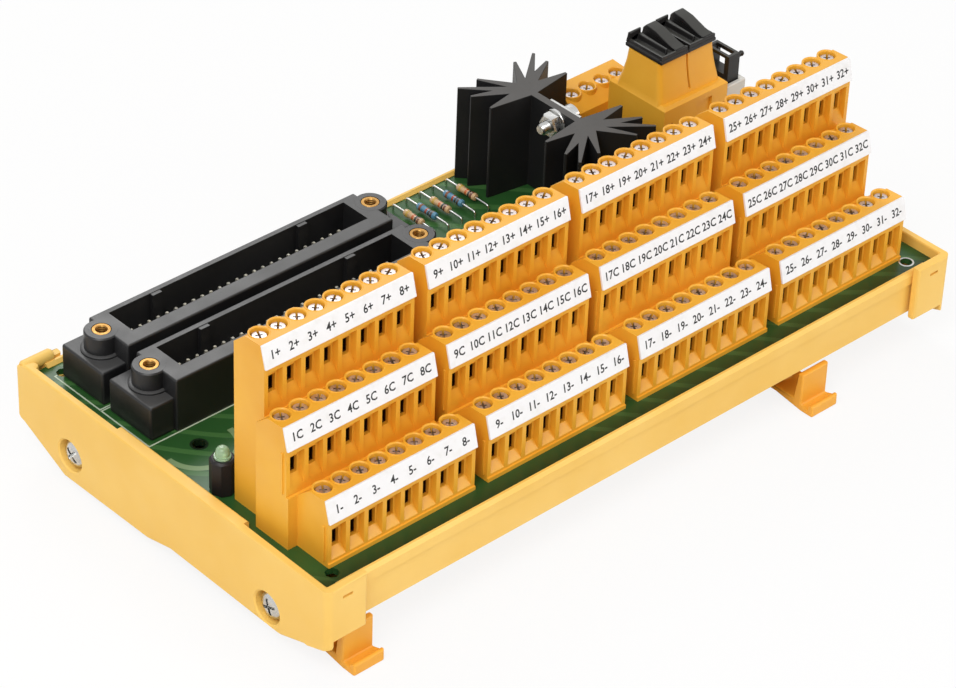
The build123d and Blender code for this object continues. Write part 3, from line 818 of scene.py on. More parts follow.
    @staticmethod
    def round_off(piece: Piece, width: float, shortest: float, segments: int = 3) -> Piece:
        """Rounds the sharp edges that are long enough and evens the shading.

        Args:
            piece: The piece.
            width: The rounding.
            shortest: Edges shorter than this stay sharp.
            segments: Steps of the rounding.

        Returns:
            The piece.
        """
        Bench.edit(piece, "EDGE", "DESELECT")
        bpy.ops.mesh.edges_select_sharp(sharpness=math.radians(SHARP))
        bpy.ops.object.mode_set(mode="OBJECT")
        mesh = piece.data
        for edge in mesh.edges:
            first, second = (mesh.vertices[index].co for index in edge.vertices)
            edge.select = edge.select and (first - second).length > shortest * MM
        for part in (*mesh.vertices, *mesh.polygons):
            part.select = False
        bpy.ops.object.mode_set(mode="EDIT")
        bpy.ops.mesh.bevel(offset=width * MM, segments=segments, affect="EDGES", clamp_overlap=False)
        bpy.ops.mesh.select_all(action="SELECT")
        bpy.ops.mesh.remove_doubles(threshold=5 * MICRON)
        bpy.ops.mesh.dissolve_degenerate(threshold=5 * MICRON)
        return Bench.even(piece)

    @staticmethod
    def even(piece: Piece) -> Piece:
        """Evens the shading of a piece with flat faces and rounded edges.

        Args:
            piece: The piece.

        Returns:
            The piece.
        """
        Bench.take(piece)
        bpy.ops.mesh.customdata_custom_splitnormals_clear()
        Bench.smooth(piece, 40.0)
        Bench.apply(piece, "WEIGHTED_NORMAL", EVEN_NORMALS)
        return piece

    @staticmethod
    def smooth(piece: Piece, degrees: float) -> Piece:
        """Shades a piece smooth wherever its faces meet at less than an angle.

        Args:
            piece: The piece.
            degrees: The angle.

        Returns:
            The piece.
        """
        Bench.take(piece)
        bpy.ops.object.shade_smooth_by_angle(angle=math.radians(degrees))
        return piece

    @staticmethod
    def copy(piece: Piece, name: str, place: Matrix) -> Piece:
        """Copies a piece with its own mesh.

        Args:
            piece: The piece.
            name: The copy's name.
            place: Where its mesh goes, in metres.

        Returns:
            The copy.
        """
        twin = piece.copy()
        twin.data = piece.data.copy()
        twin.name = name
        Bench.hang(twin)
        return Bench.settle(twin, place)

    @staticmethod
    def repeat(piece: Piece, name: str, spots: Sequence[Matrix]) -> Piece:
        """Copies a model to many places, joins the copies and throws the model away.

        Args:
            piece: The model.
            name: The joined piece's name.
            spots: The places, in metres.

        Returns:
            The joined piece.
        """
        twins = [Bench.copy(piece, f"{name}_{number}", spot) for number, spot in enumerate(spots)]
        bpy.data.objects.remove(piece, do_unlink=True)
        return Bench.join(twins, name)

    @staticmethod
    def join(pieces: Sequence[Piece], name: str) -> Piece:
        """Joins pieces into one.

        Args:
            pieces: The pieces.
            name: The result's name.

        Returns:
            The joined piece.
        """
        Bench.take(pieces[0])
        for piece in pieces[1:]:
            piece.select_set(True)
        if len(pieces) > 1:
            bpy.ops.object.join()
        joined = bpy.context.object
        joined.name = name
        Bench.rest()
        return joined

    @staticmethod
    def refine(node: str) -> Piece:
        """Copies a CAD node as one closed mesh with whole faces, ready to be worked on.

        Args:
            node: The node.

        Returns:
            The copy.
        """
        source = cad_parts[node]
        piece = source.copy()
        piece.data = source.data.copy()
        piece.parent = None
        piece.matrix_world = Matrix.Identity(4)
        piece.name = f"{node}_finished"
        piece.data.materials.clear()
        Bench.hang(piece)
        Bench.take(piece)
        bpy.ops.mesh.customdata_custom_splitnormals_clear()
        Bench.edit(piece)
        bpy.ops.mesh.remove_doubles(threshold=2 * MICRON)
        bpy.ops.mesh.dissolve_limited(angle_limit=math.radians(0.6))
        Bench.rest()
        return piece


def shift(x: float = 0.0, y: float = 0.0, z: float = 0.0) -> Matrix:
    """Gives a move in millimetres."""
    return Matrix.Translation((x * MM, y * MM, z * MM))


@dataclass
class Palette:
    """Every finish of the module, built once."""

    terminal: Moulded = Moulded("terminal_plastic", (241, 180, 58), (230, 162, 38), 0.4)
    tray: Moulded = Moulded("tray_plastic", (248, 204, 108), (242, 194, 92), 0.46)
    # foot: the same plastic as the tray, drawn deeper and darker orange as painted shade under the tray.
    foot: Moulded = Moulded("foot_plastic_painted_shade", (245, 180, 66), (236, 162, 46), 0.44)
    card: Card = Card("marker_card", (240, 239, 240))
    ink: Ink = Ink("marker_ink", (24, 24, 26))
    # header: its sixth value, (78, 78, 78), is a painted highlight on faces that point up.
    header: Moulded = Moulded(
        "header_plastic", (34, 34, 35), (24, 24, 25), 0.36, 0.3, (78, 78, 78), sheen=0.4
    )
    gold: Metal = Metal("pin_gold", (255, 251, 236), (250, 242, 218), 0.45)
    brass: Metal = Metal("insert_brass", (168, 128, 70), (134, 98, 50), 0.36)
    zinc: Metal = Metal("screw_zinc", (208, 202, 202), (172, 164, 162), 0.38)
    # clamp: brass drawn very dark; the darkness is painted shade inside the wire entries and fuse wells.
    clamp: Metal = Metal("clamp_brass_painted_shade", (74, 50, 32), (44, 30, 20), 0.5)
    steel: Metal = Metal("screw_steel", (214, 214, 212), (176, 176, 174), 0.24)
    # anodised: its sixth value, (86, 84, 82), is a painted highlight on faces that point up.
    anodised: Moulded = Moulded(
        "anodised_black", (30, 30, 31), (20, 20, 21), 0.45, 0.15, (86, 84, 82), sheen=0.24
    )
    package: Moulded = Moulded("component_black", (38, 37, 36), (28, 27, 27), 0.45)
    tinned: Metal = Metal("tinned_metal", (206, 206, 204), (170, 170, 166), 0.3)
    # carrier: its sixth value, (58, 58, 54), is a painted highlight on faces that point up.
    carrier: Moulded = Moulded(
        "carrier_black", (32, 31, 31), (24, 23, 23), 0.36, 0.25, (58, 58, 54), sheen=0.35
    )
    socket: Moulded = Moulded("socket_grey", (214, 213, 208), (200, 198, 192), 0.45)
    lens: Lens = Lens("lens_green", (168, 200, 158))
    spacer: Moulded = Moulded("spacer_black", (34, 30, 32), (24, 21, 22), 0.45, sheen=0.3)
    blue: Banded = Banded(
        "resistor_blue",
        (84, 138, 168),
        (
            (-2.0, (60, 40, 30)),
            (-1.1, (30, 30, 32)),
            (-0.1, (150, 60, 40)),
            (1.9, (120, 70, 40)),
        ),
    )
    tan: Banded = Banded(
        "resistor_tan",
        (206, 170, 126),
        (
            (-2.0, (110, 60, 34)),
            (-1.1, (30, 30, 32)),
            (-0.1, (196, 96, 40)),
            (1.9, (196, 160, 70)),
        ),
    )
    built: dict[str, Material] = field(default_factory=dict)

    def get(self, finish: object) -> Material:
        """Builds a finish the first time it is asked for.

        Args:
            finish: One of the finishes.

        Returns:
            Its material.
        """
        if finish.name not in self.built:
            self.built[finish.name] = finish.material()
        return self.built[finish.name]


@dataclass
class Assembly:
    """What every sub-assembly shares: its palette and the last step of each piece."""

    palette: Palette

    def fit(
        self,
        piece: Piece,
        finish: object,
        slot: str,
        nodes: Sequence[str] = (),
        body: str = MODULE,
    ) -> None:
        """Dresses a piece and hangs it on its body.

        Args:
            piece: The finished piece.
            finish: Its finish.
            slot: The record's material slot; not used.
            nodes: CAD nodes that it stands for.
            body: The body it rides on.
        """
        piece.data.materials.clear()
        piece.data.materials.append(self.palette.get(finish))
        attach(piece, body)
        if nodes:
            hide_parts(*nodes)
        log.info("%s: %d faces on %s", piece.name, len(piece.data.polygons), body)

    def keep(self, node: str, finish: object) -> None:
        """Gives a CAD node that stays its finish.

        Args:
            node: The node.
            finish: Its finish.
        """
        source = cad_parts[node]
        if not source.material_slots:
            source.data.materials.append(self.palette.get(finish))
        for slot in source.material_slots:
            slot.material = self.palette.get(finish)
        log.info("%s keeps its CAD shape", node)

    def soften(
        self, node: str, width: float, shortest: float, finish: object, slot: str, body: str = MODULE
    ) -> None:
        """Replaces a CAD node by a copy of it with rounded edges.

        Args:
            node: The node.
            width: The rounding.
            shortest: Edges shorter than this stay sharp.
            finish: Its finish.
            slot: The record's material slot.
            body: The body it rides on.
        """
        piece = Bench.round_off(Bench.refine(node), width, shortest)
        self.fit(piece, finish, slot, (node,), body)


@dataclass
class Tier:
    """Sizes of one terminal tier."""

    label: str
    row_y: float
    top: float
    shift_x: float
    foot_front: float
    foot_z: float
    mark: str
    ribbed: bool = True


@dataclass
class TerminalBlocks(Assembly):
    """The four blocks of three tiers, with their screws, clamps and marker strips."""

    pitch: float = 5.08
    ways: int = 8
    end_margin: float = 3.0
    centres: tuple[float, ...] = (-67.86, -22.62, 22.62, 67.86)
    board_top: float = 17.8
    front: float = 5.2
    back: float = 4.65
    boss_radius: float = 2.46
    pot_radius: float = 1.95
    screw_radius: float = 1.84
    screw_sink: float = 0.8
    pot_depth: float = 5.0
    bay_half: float = 2.22
    bay_reach: float = 7.0
    bay_rise: Pair = (-1.9, -5.2)
    throat_half: float = 1.75
    throat_reach: float = 3.75
    throat_drop: Pair = (13.3, 8.3)
    entry_half: float = 1.1
    entry_drop: Pair = (13.1, 8.8)
    rib_half: float = 0.3
    rib_reach: float = 0.4
    clamp_half: float = 1.05
    clamp_wall: float = 0.25
    label_size: float = 2.85
    label_lift: float = 0.012
    label_width: float = 0.9
    tiers: tuple[Tier, ...] = (
        Tier("low", -19.0, 34.8, 0.0, 5.6, 18.8, "-"),
        Tier("middle", -8.5, 48.9, -2.54, 5.85, 31.4, "C"),
        Tier("high", 1.6, 63.0, 0.0, 5.45, 45.5, "+", False),
    )

    def spots(self, ways: int) -> list[float]:
        """Gives the places of a row's terminals along X about its middle."""
        return [(number - (ways - 1) / 2) * self.pitch for number in range(ways)]

    def housing(self, name: str, tier: Tier, ways: int, strip: bool) -> Piece:
        """Models a tier about X 0, wired from the front.

        Args:
            name: Its name.
            tier: The tier's sizes.
            ways: Number of terminals.
            strip: True where a marker strip lies on its front edge.

        Returns:
            The housing.
        """
        length = (ways - 1) * self.pitch + 2 * self.end_margin
        row, top = tier.row_y, tier.top
        inset_y, inset_z = (0.59, 0.16) if strip else (0.0, 0.0)
        outline = [
            (row + self.back, self.board_top),
            (row + self.back, top - 3.4),
            (row + 0.9, top - 0.22),
            (row - 4.5 + inset_y, top + 0.2 - inset_z),
            (row - 5.9 + inset_y, top - 5.3 - inset_z),
            (row - self.front, top - 5.75),
            (row - self.front, tier.foot_z),
            (row - tier.foot_front, tier.foot_z),
            (row - tier.foot_front, self.board_top),
        ]
        piece = Bench.prism(name, outline, -length / 2, length)
        radius = self.boss_radius
        rings = ((radius, top - 3.6), (radius, top - 0.12), (radius - 0.12, top))
        boss = Bench.turned("pot_boss", rings, (0, row, 0), Way.Z, 28)
        radius = self.pot_radius
        rings = ((radius, top - self.pot_depth), (radius, top - 0.25), (radius + 0.3, top + 0.1))
        pot = Bench.turned("pot_cut", rings, (0, row, 0), Way.Z, 24)
        low, high = self.bay_rise
        front = (self.bay_half, row - self.bay_reach, tier.foot_z + low, top + high)
        low, high = self.throat_drop
        back = (self.throat_half, row - self.throat_reach, top - low, top - high)
        bay = Bench.funnel("bay_cut", front, back)
        low, high = self.entry_drop
        entry_low = (-self.entry_half, row - 4.4, top - low)
        entry = Bench.box("entry_cut", entry_low, (self.entry_half, row + 2.3, top - high))
        for tool in (boss, pot, bay, entry):
            tools = Bench.repeat(tool, f"{tool.name}s", [shift(x) for x in self.spots(ways)])
            Bench.combine(piece, tools, "UNION" if tool is boss else "DIFFERENCE")
        if tier.ribbed:
            self.dovetail(piece, length / 2, row - 4.0, (tier.foot_z + 0.5, top - 6.4))
        return Bench.ease(piece, 0.14, 1)

    def dovetail(self, piece: Piece, edge: float, y: float, heights: Pair) -> None:
        """Adds the rib of one side and the groove of the other that line blocks up.

        Args:
            piece: The housing.
            edge: Half its length.
            y: Where the rib stands.
            heights: Its foot and top.
        """
        low, high = heights
        reach, half = self.rib_reach, self.rib_half
        Bench.add(piece, Bench.box("side_rib", (-edge - reach, y - half, low), (-edge + 0.5, y + half, high)))
        reach, half = reach + 0.05, half + 0.05
        low, high = low - 0.4, high + 0.3
        Bench.cut(piece, Bench.box("side_cut", (edge - reach, y - half, low), (edge + 1.0, y + half, high)))

    def screw(self, name: str, top: float) -> Piece:
        """Models a terminal screw with a combined slot and cross, standing on X 0 and Y 0.

        Args:
            name: Its name.
            top: Top of the pot.

        Returns:
            The screw.
        """
        radius = self.screw_radius
        head = top - self.screw_sink
        rings = ((radius, top - self.pot_depth), (radius, head - 0.3), (radius - 0.3, head))
        piece = Bench.turned(name, rings, (0, 0, 0), Way.Z, 16)
        Bench.cut(piece, Bench.box("slot_cut", (-2.0, -0.26, head - 1.3), (2.0, 0.26, head + 0.5)))
        Bench.cut(piece, Bench.box("cross_cut", (-0.2, -0.8, head - 1.1), (0.2, 0.8, head + 0.5)))
        return Bench.smooth(piece, 35.0)

    def screws(self, name: str, top: float, row_y: float, places: Sequence[float], node: str) -> None:
        """Fits a row of screws, each turned its own way.

        Args:
            name: The piece's name.
            top: Top of the pots.
            row_y: The row.
            places: Places along X.
            node: The CAD node.
        """
        turns = random.Random(len(name) * 7 + int(top))
        spots = [shift(x, row_y) @ Matrix.Rotation(turns.uniform(0.45, 1.15), 4, "Z") for x in places]
        piece = Bench.repeat(self.screw("screw_model", top), name, spots)
        self.fit(piece, self.palette.zinc, "screw_zinc", (node,))

    def clamps(self, name: str, top: float, row_y: float, facing: int, places: Sequence[float]) -> None:
        """Fits the wire clamps that show in the entries.

        Args:
            name: The piece's name.
            top: Top of the pots.
            row_y: The row.
            facing: 1 where wires enter from the front, -1 from behind.
            places: Places along X.
        """
        half = self.clamp_half
        piece = Bench.box("clamp_model", (-half, -2.9, top - 13.05), (half, 2.0, top - 8.85))
        half -= self.clamp_wall
        Bench.cut(piece, Bench.box("window_cut", (-half, -4.0, top - 12.6), (half, 1.4, top - 9.8)))
        turn = Matrix.Identity(4) if facing == 1 else Matrix.Rotation(math.pi, 4, "Z")
        spots = [shift(x, row_y) @ turn for x in places]
        # The clamps take the dark clamp finish, whose darkness is painted shade inside the entries.
        self.fit(Bench.repeat(piece, name, spots), self.palette.clamp, "contact_brass")

    def strips(self, tier: Tier) -> None:
        """Fits a tier's four marker strips and prints their numbers.

        Args:
            tier: The tier.
        """
        length = (self.ways - 1) * self.pitch + 2 * self.end_margin
        row, top = tier.row_y, tier.top
        outline = (
            (row - 4.5, top + 0.2),
            (row - 5.9, top - 5.3),
            (row - 5.32, top - 5.44),
            (row - 3.92, top + 0.06),
        )
        strip = Bench.ease(Bench.prism("strip_model", outline, -length / 2, length), 0.09, 2)
        places = [shift(x + tier.shift_x) for x in self.centres]
        strips = Bench.repeat(strip, f"marker_strips_{tier.label}_finished", places)
        self.fit(strips, self.palette.card, "marker_white", (f"marker_strips_{tier.label}",))
        lean = Vector((0.0, 1.4, 5.5)).normalized()
        face = Vector((1.0, 0.0, 0.0)).cross(lean)
        turn = Matrix((Vector((1, 0, 0)), lean, face)).transposed().to_4x4()
        narrow = Matrix.Diagonal((self.label_width, 1.0, 1.0, 1.0))
        labels = []
        for block, centre in enumerate(self.centres):
            for number, x in enumerate(self.spots(self.ways), start=1):
                middle = Vector((centre + tier.shift_x + x, row - 5.2, top - 2.62)) + face * self.label_lift
                place = Matrix.Translation(middle * MM) @ turn @ narrow
                labels.append(self.printed(f"{block * self.ways + number}{tier.mark}", place))
        self.fit(Bench.join(labels, f"marker_numbers_{tier.label}"), self.palette.ink, "component_black")

    def printed(self, words: str, place: Matrix) -> Piece:
        """Prints one number.

        Args:
            words: The number and its sign.
            place: Where it goes, in metres.

        Returns:
            Its mesh.
        """
        Bench.rest()
        bpy.ops.object.text_add()
        text = bpy.context.object
        text.data.body = words
        text.data.size = self.label_size * MM
        text.data.align_x = "CENTER"
        text.data.align_y = "CENTER"
        text.data.resolution_u = 2
        text.data.offset = 0.00006
        text.data.extrude = 0.00001
        bpy.ops.object.convert(target="MESH")
        return Bench.settle(bpy.context.object, place)

    def build(self) -> None:
        """Builds every tier and the supply row."""
        for tier in self.tiers:
            model = self.housing(f"{tier.label}_tier_model", tier, self.ways, True)
            for number, centre in enumerate(self.centres, start=1):
                node = f"block_{number}_{tier.label}_tier"
                twin = Bench.copy(model, f"{node}_finished", shift(centre + tier.shift_x))
                self.fit(twin, self.palette.terminal, "terminal_plastic", (node,))
            bpy.data.objects.remove(model, do_unlink=True)
            places = [c + tier.shift_x + x for c in self.centres for x in self.spots(self.ways)]
            node = f"terminal_screws_{tier.label}"
            self.screws(f"{node}_finished", tier.top, tier.row_y, places, node)
            self.clamps(f"wire_clamps_{tier.label}", tier.top, tier.row_y, 1, places)
            self.strips(tier)


@dataclass
class SupplyRow(TerminalBlocks):
    """The four supply terminals along the back edge, wired from behind."""

    middle_x: float = 68.05
    row: float = 59.2
    count: int = 4

    def build(self) -> None:
        """Builds the row."""
        tier = Tier("supply", 0.0, 34.8, 0.0, 5.6, 18.8, "")
        piece = self.housing("supply_terminal_block_finished", tier, self.count, False)
        Bench.settle(piece, shift(self.middle_x, self.row) @ Matrix.Rotation(math.pi, 4, "Z"))
        self.fit(piece, self.palette.terminal, "terminal_plastic", ("supply_terminal_block",))
        places = [self.middle_x + x for x in self.spots(self.count)]
        node = "terminal_screws_supply"
        self.screws(f"{node}_finished", tier.top, self.row, places, node)
        self.clamps("wire_clamps_supply", tier.top, self.row, -1, places)


@dataclass
class TrayAndCaps(Assembly):
    """The profile tray, its end caps and their screws, and the rail feet."""

    cap_face: float = 96.4
    cap_front: float = -33.3
    cap_back: float = 73.3
    cap_corner: float = 2.4
    channels: tuple[Pair, ...] = ((-13.6, 4.3), (54.4, 4.7))
    recess_radius: float = 4.02
    recess_depth: float = 2.6
    ridge_length: float = 9.0
    ridge_line: Pair = (71.6, 19.2)
    knob_line: Pair = (69.6, 19.0)
    knob_inset: float = 1.9
    notch_inset: Pair = (4.2, 6.9)
    notch_height: Pair = (17.2, 17.9)

    def caps(self) -> None:
        """Fits the end caps with round screw recesses."""
        for name, side in (("left", -1), ("right", 1)):
            node = f"end_cap_{name}"
            piece = Bench.refine(node)
            for y in (self.cap_front, self.cap_back):
                Bench.round_upright(piece, (side * self.cap_face, y), self.cap_corner)
            way = Way.X if side == 1 else Way.BACK_X
            end = side * self.cap_face
            for y, z in self.channels:
                radius = self.recess_radius
                rings = ((radius, -self.recess_depth - 0.02), (radius, -0.35), (radius + 0.5, 0.15))
                Bench.cut(piece, Bench.turned("recess_cut", rings, (end, y, z), way, 40))
            low_x, high_x = sorted((end, end - side * self.ridge_length))
            reach = high_x - low_x
            rings = ((1.2, 0.4), (1.55, 0.9), (1.55, reach - 0.9), (1.2, reach - 0.4))
            Bench.add(piece, Bench.turned("ridge_add", rings, (low_x, *self.ridge_line), Way.X, 20))
            low_x, high_x = sorted(end - side * inset for inset in self.notch_inset)
            low_z, high_z = self.notch_height
            front, back = self.cap_front - 0.7, self.cap_front + 0.6
            Bench.cut(piece, Bench.box("notch_cut", (low_x, front, low_z), (high_x, back, high_z)))
            rings = ((1.2, -1.5), (1.5, 0.5), (1.2, 1.2), (0.6, 1.5))
            knob = Bench.turned("knob_add", rings, (end - side * self.knob_inset, *self.knob_line), Way.Z, 20)
            Bench.add(piece, knob)
            Bench.round_off(piece, 0.6, 6.0)
            self.fit(piece, self.palette.tray, "tray_plastic", (node,))

    def screws(self) -> None:
        """Fits the four pan-head screws with their cross recesses."""
        rings = ((1.4, -9.4), (1.4, 0.0), (3.3, 0.0), (3.4, 0.3), (3.3, 1.1), (2.7, 1.75), (1.5, 2.15))
        head = Bench.turned("cap_screw_model", rings, (0, 0, 0), Way.X, 32)
        for y, z in ((2.0, 0.36), (0.36, 2.0)):
            Bench.cut(head, Bench.box("cross_cut", (0.9, -y, -z), (2.6, y, z)))
        Bench.smooth(head, 35.0)
        seat = self.cap_face - self.recess_depth
        spots = []
        for number, (y, z) in enumerate(self.channels):
            for side in (-1, 1):
                turn = Matrix.Identity(4) if side == 1 else Matrix.Rotation(math.pi, 4, "Z")
                spin = Matrix.Rotation(0.35 + 0.5 * number, 4, "X")
                spots.append(shift(side * seat, y, z) @ turn @ spin)
        piece = Bench.repeat(head, "end_cap_screws_finished", spots)
        self.fit(piece, self.palette.steel, "screw_steel", ("end_cap_screws",))

    def build(self) -> None:
        """Builds the tray, caps, screws, feet and latches."""
        tray = Bench.ease(Bench.refine("profile_tray"), 0.3)
        self.fit(tray, self.palette.tray, "tray_plastic", ("profile_tray",))
        self.caps()
        self.screws()
        for name in ("left", "right"):
            # Feet and latches take the darker foot finish, which paints the shade under the tray.
            self.soften(f"rail_foot_{name}", 0.4, 2.5, self.palette.foot, "tray_plastic")
            self.soften(f"rail_latch_{name}", 0.5, 2.0, self.palette.foot, "tray_plastic", f"{name}_latch")


@dataclass
class Headers(Assembly):
    """The two pin headers with their brass inserts and pins."""

    boss_x: Pair = (-83.8, -5.1)
    rows: tuple[tuple[str, float], ...] = (("front", 41.2), ("rear", 58.1))
    board_top: float = 17.8
    top: float = 31.7
    foot: float = 26.6
    foot_reach: tuple[float, float, float] = (6.0, 7.9, 6.9)
    body_reach: tuple[float, float, float] = (38.85, 8.8, 5.4)
    cavity_reach: tuple[float, float, float] = (34.4, 4.8, 3.8)
    cavity_depth: float = 9.0
    key_gap: float = 21.3
    key_half: float = 1.3
    insert_hole: float = 2.28
    insert_length: float = 5.7
    boss_radius: float = 4.0
    ring_radius: float = 4.8
    pins: int = 25
    pin_pitch: float = 2.54

    def housing(self, name: str, boss_y: float) -> None:
        """Fits a header's housing with round bosses.

        Args:
            name: front or rear.
            boss_y: The line of its bosses.
        """
        node = f"header_{name}_housing"
        middle = sum(self.boss_x) / 2
        side, front, back = self.foot_reach
        low = (self.boss_x[0] - side, boss_y - front, self.board_top)
        piece = Bench.box(f"{node}_finished", low, (self.boss_x[1] + side, boss_y + back, self.foot))
        Bench.ease(piece, 0.6, 3)
        half, front, back = self.body_reach
        low = (middle - half, boss_y - front, self.board_top + 0.02)
        body = Bench.box("body_add", low, (middle + half, boss_y + back, self.top))
        Bench.add(piece, Bench.ease(body, 0.5, 3))
        for x in self.boss_x:
            rings = (
                (self.ring_radius, self.foot - 1.0),
                (self.ring_radius, self.foot + 0.35),
                (self.ring_radius - 0.35, self.foot + 0.6),
                (self.boss_radius, self.foot + 0.6),
                (self.boss_radius, self.top - 0.28),
                (self.boss_radius - 0.3, self.top + 0.02),
            )
            Bench.add(piece, Bench.turned("boss_add", rings, (x, boss_y, 0), Way.Z, 40))
            rings = ((self.insert_hole, self.top - self.insert_length), (self.insert_hole, self.top + 1))
            Bench.cut(piece, Bench.turned("insert_cut", rings, (x, boss_y, 0), Way.Z, 32))
        half, front, back = self.cavity_reach
        low = (middle - half, boss_y - front, self.top - self.cavity_depth)
        Bench.cut(piece, Bench.box("cavity_cut", low, (middle + half, boss_y + back, self.top + 1.0)))
        for x in (middle - self.key_gap, middle + self.key_gap):
            low = (x - self.key_half, boss_y + back - 1.0, self.top - self.cavity_depth - 0.5)
            key = Bench.box("key_add", low, (x + self.key_half, boss_y + back + 0.5, self.top - 0.15))
            Bench.add(piece, key)
        self.fit(Bench.even(piece), self.palette.header, "header_black", (node,))

    def insert_piece(self) -> None:
        """Fits the four threaded inserts, with a grooved bore."""
        rings = [(2.24, 0.0), (2.24, 5.5), (2.1, 5.68), (1.45, 5.68)]
        for number in range(8):
            height = 5.4 - number * 0.6
            rings += [(1.25, height), (1.4, height - 0.3)]
        rings.append((1.25, 0.5))
        model = Bench.smooth(Bench.turned("insert_model", rings, (0, 0, 0), Way.Z, 28), 35.0)
        spots = [shift(x, y, self.top - self.insert_length) for _, y in self.rows for x in self.boss_x]
        piece = Bench.repeat(model, "header_screw_inserts_finished", spots)
        self.fit(piece, self.palette.brass, "insert_brass", ("header_screw_inserts",))

    def pin_piece(self, name: str, boss_y: float) -> None:
        """Fits a header's fifty pins, tapered at the tip.

        Args:
            name: front or rear.
            boss_y: The line of its bosses.
        """
        rings = ((0.452, self.board_top), (0.452, self.top - 4.7), (0.42, self.top - 4.6))
        model = Bench.turned("pin_model", rings, (0, 0, 0), Way.Z, 4)
        Bench.settle(model, Matrix.Rotation(math.pi / 4, 4, "Z"))
        middle = sum(self.boss_x) / 2
        spots = []
        for number in range(self.pins):
            x = middle + (number - (self.pins - 1) / 2) * self.pin_pitch
            spots += [shift(x, boss_y - 0.5 + side * self.pin_pitch / 2) for side in (-1, 1)]
        piece = Bench.repeat(model, f"header_{name}_pins_finished", spots)
        self.fit(piece, self.palette.gold, "pin_gold", (f"header_{name}_pins",))

    def build(self) -> None:
        """Builds both headers."""
        for name, boss_y in self.rows:
            self.housing(name, boss_y)
            self.pin_piece(name, boss_y)
        self.insert_piece()


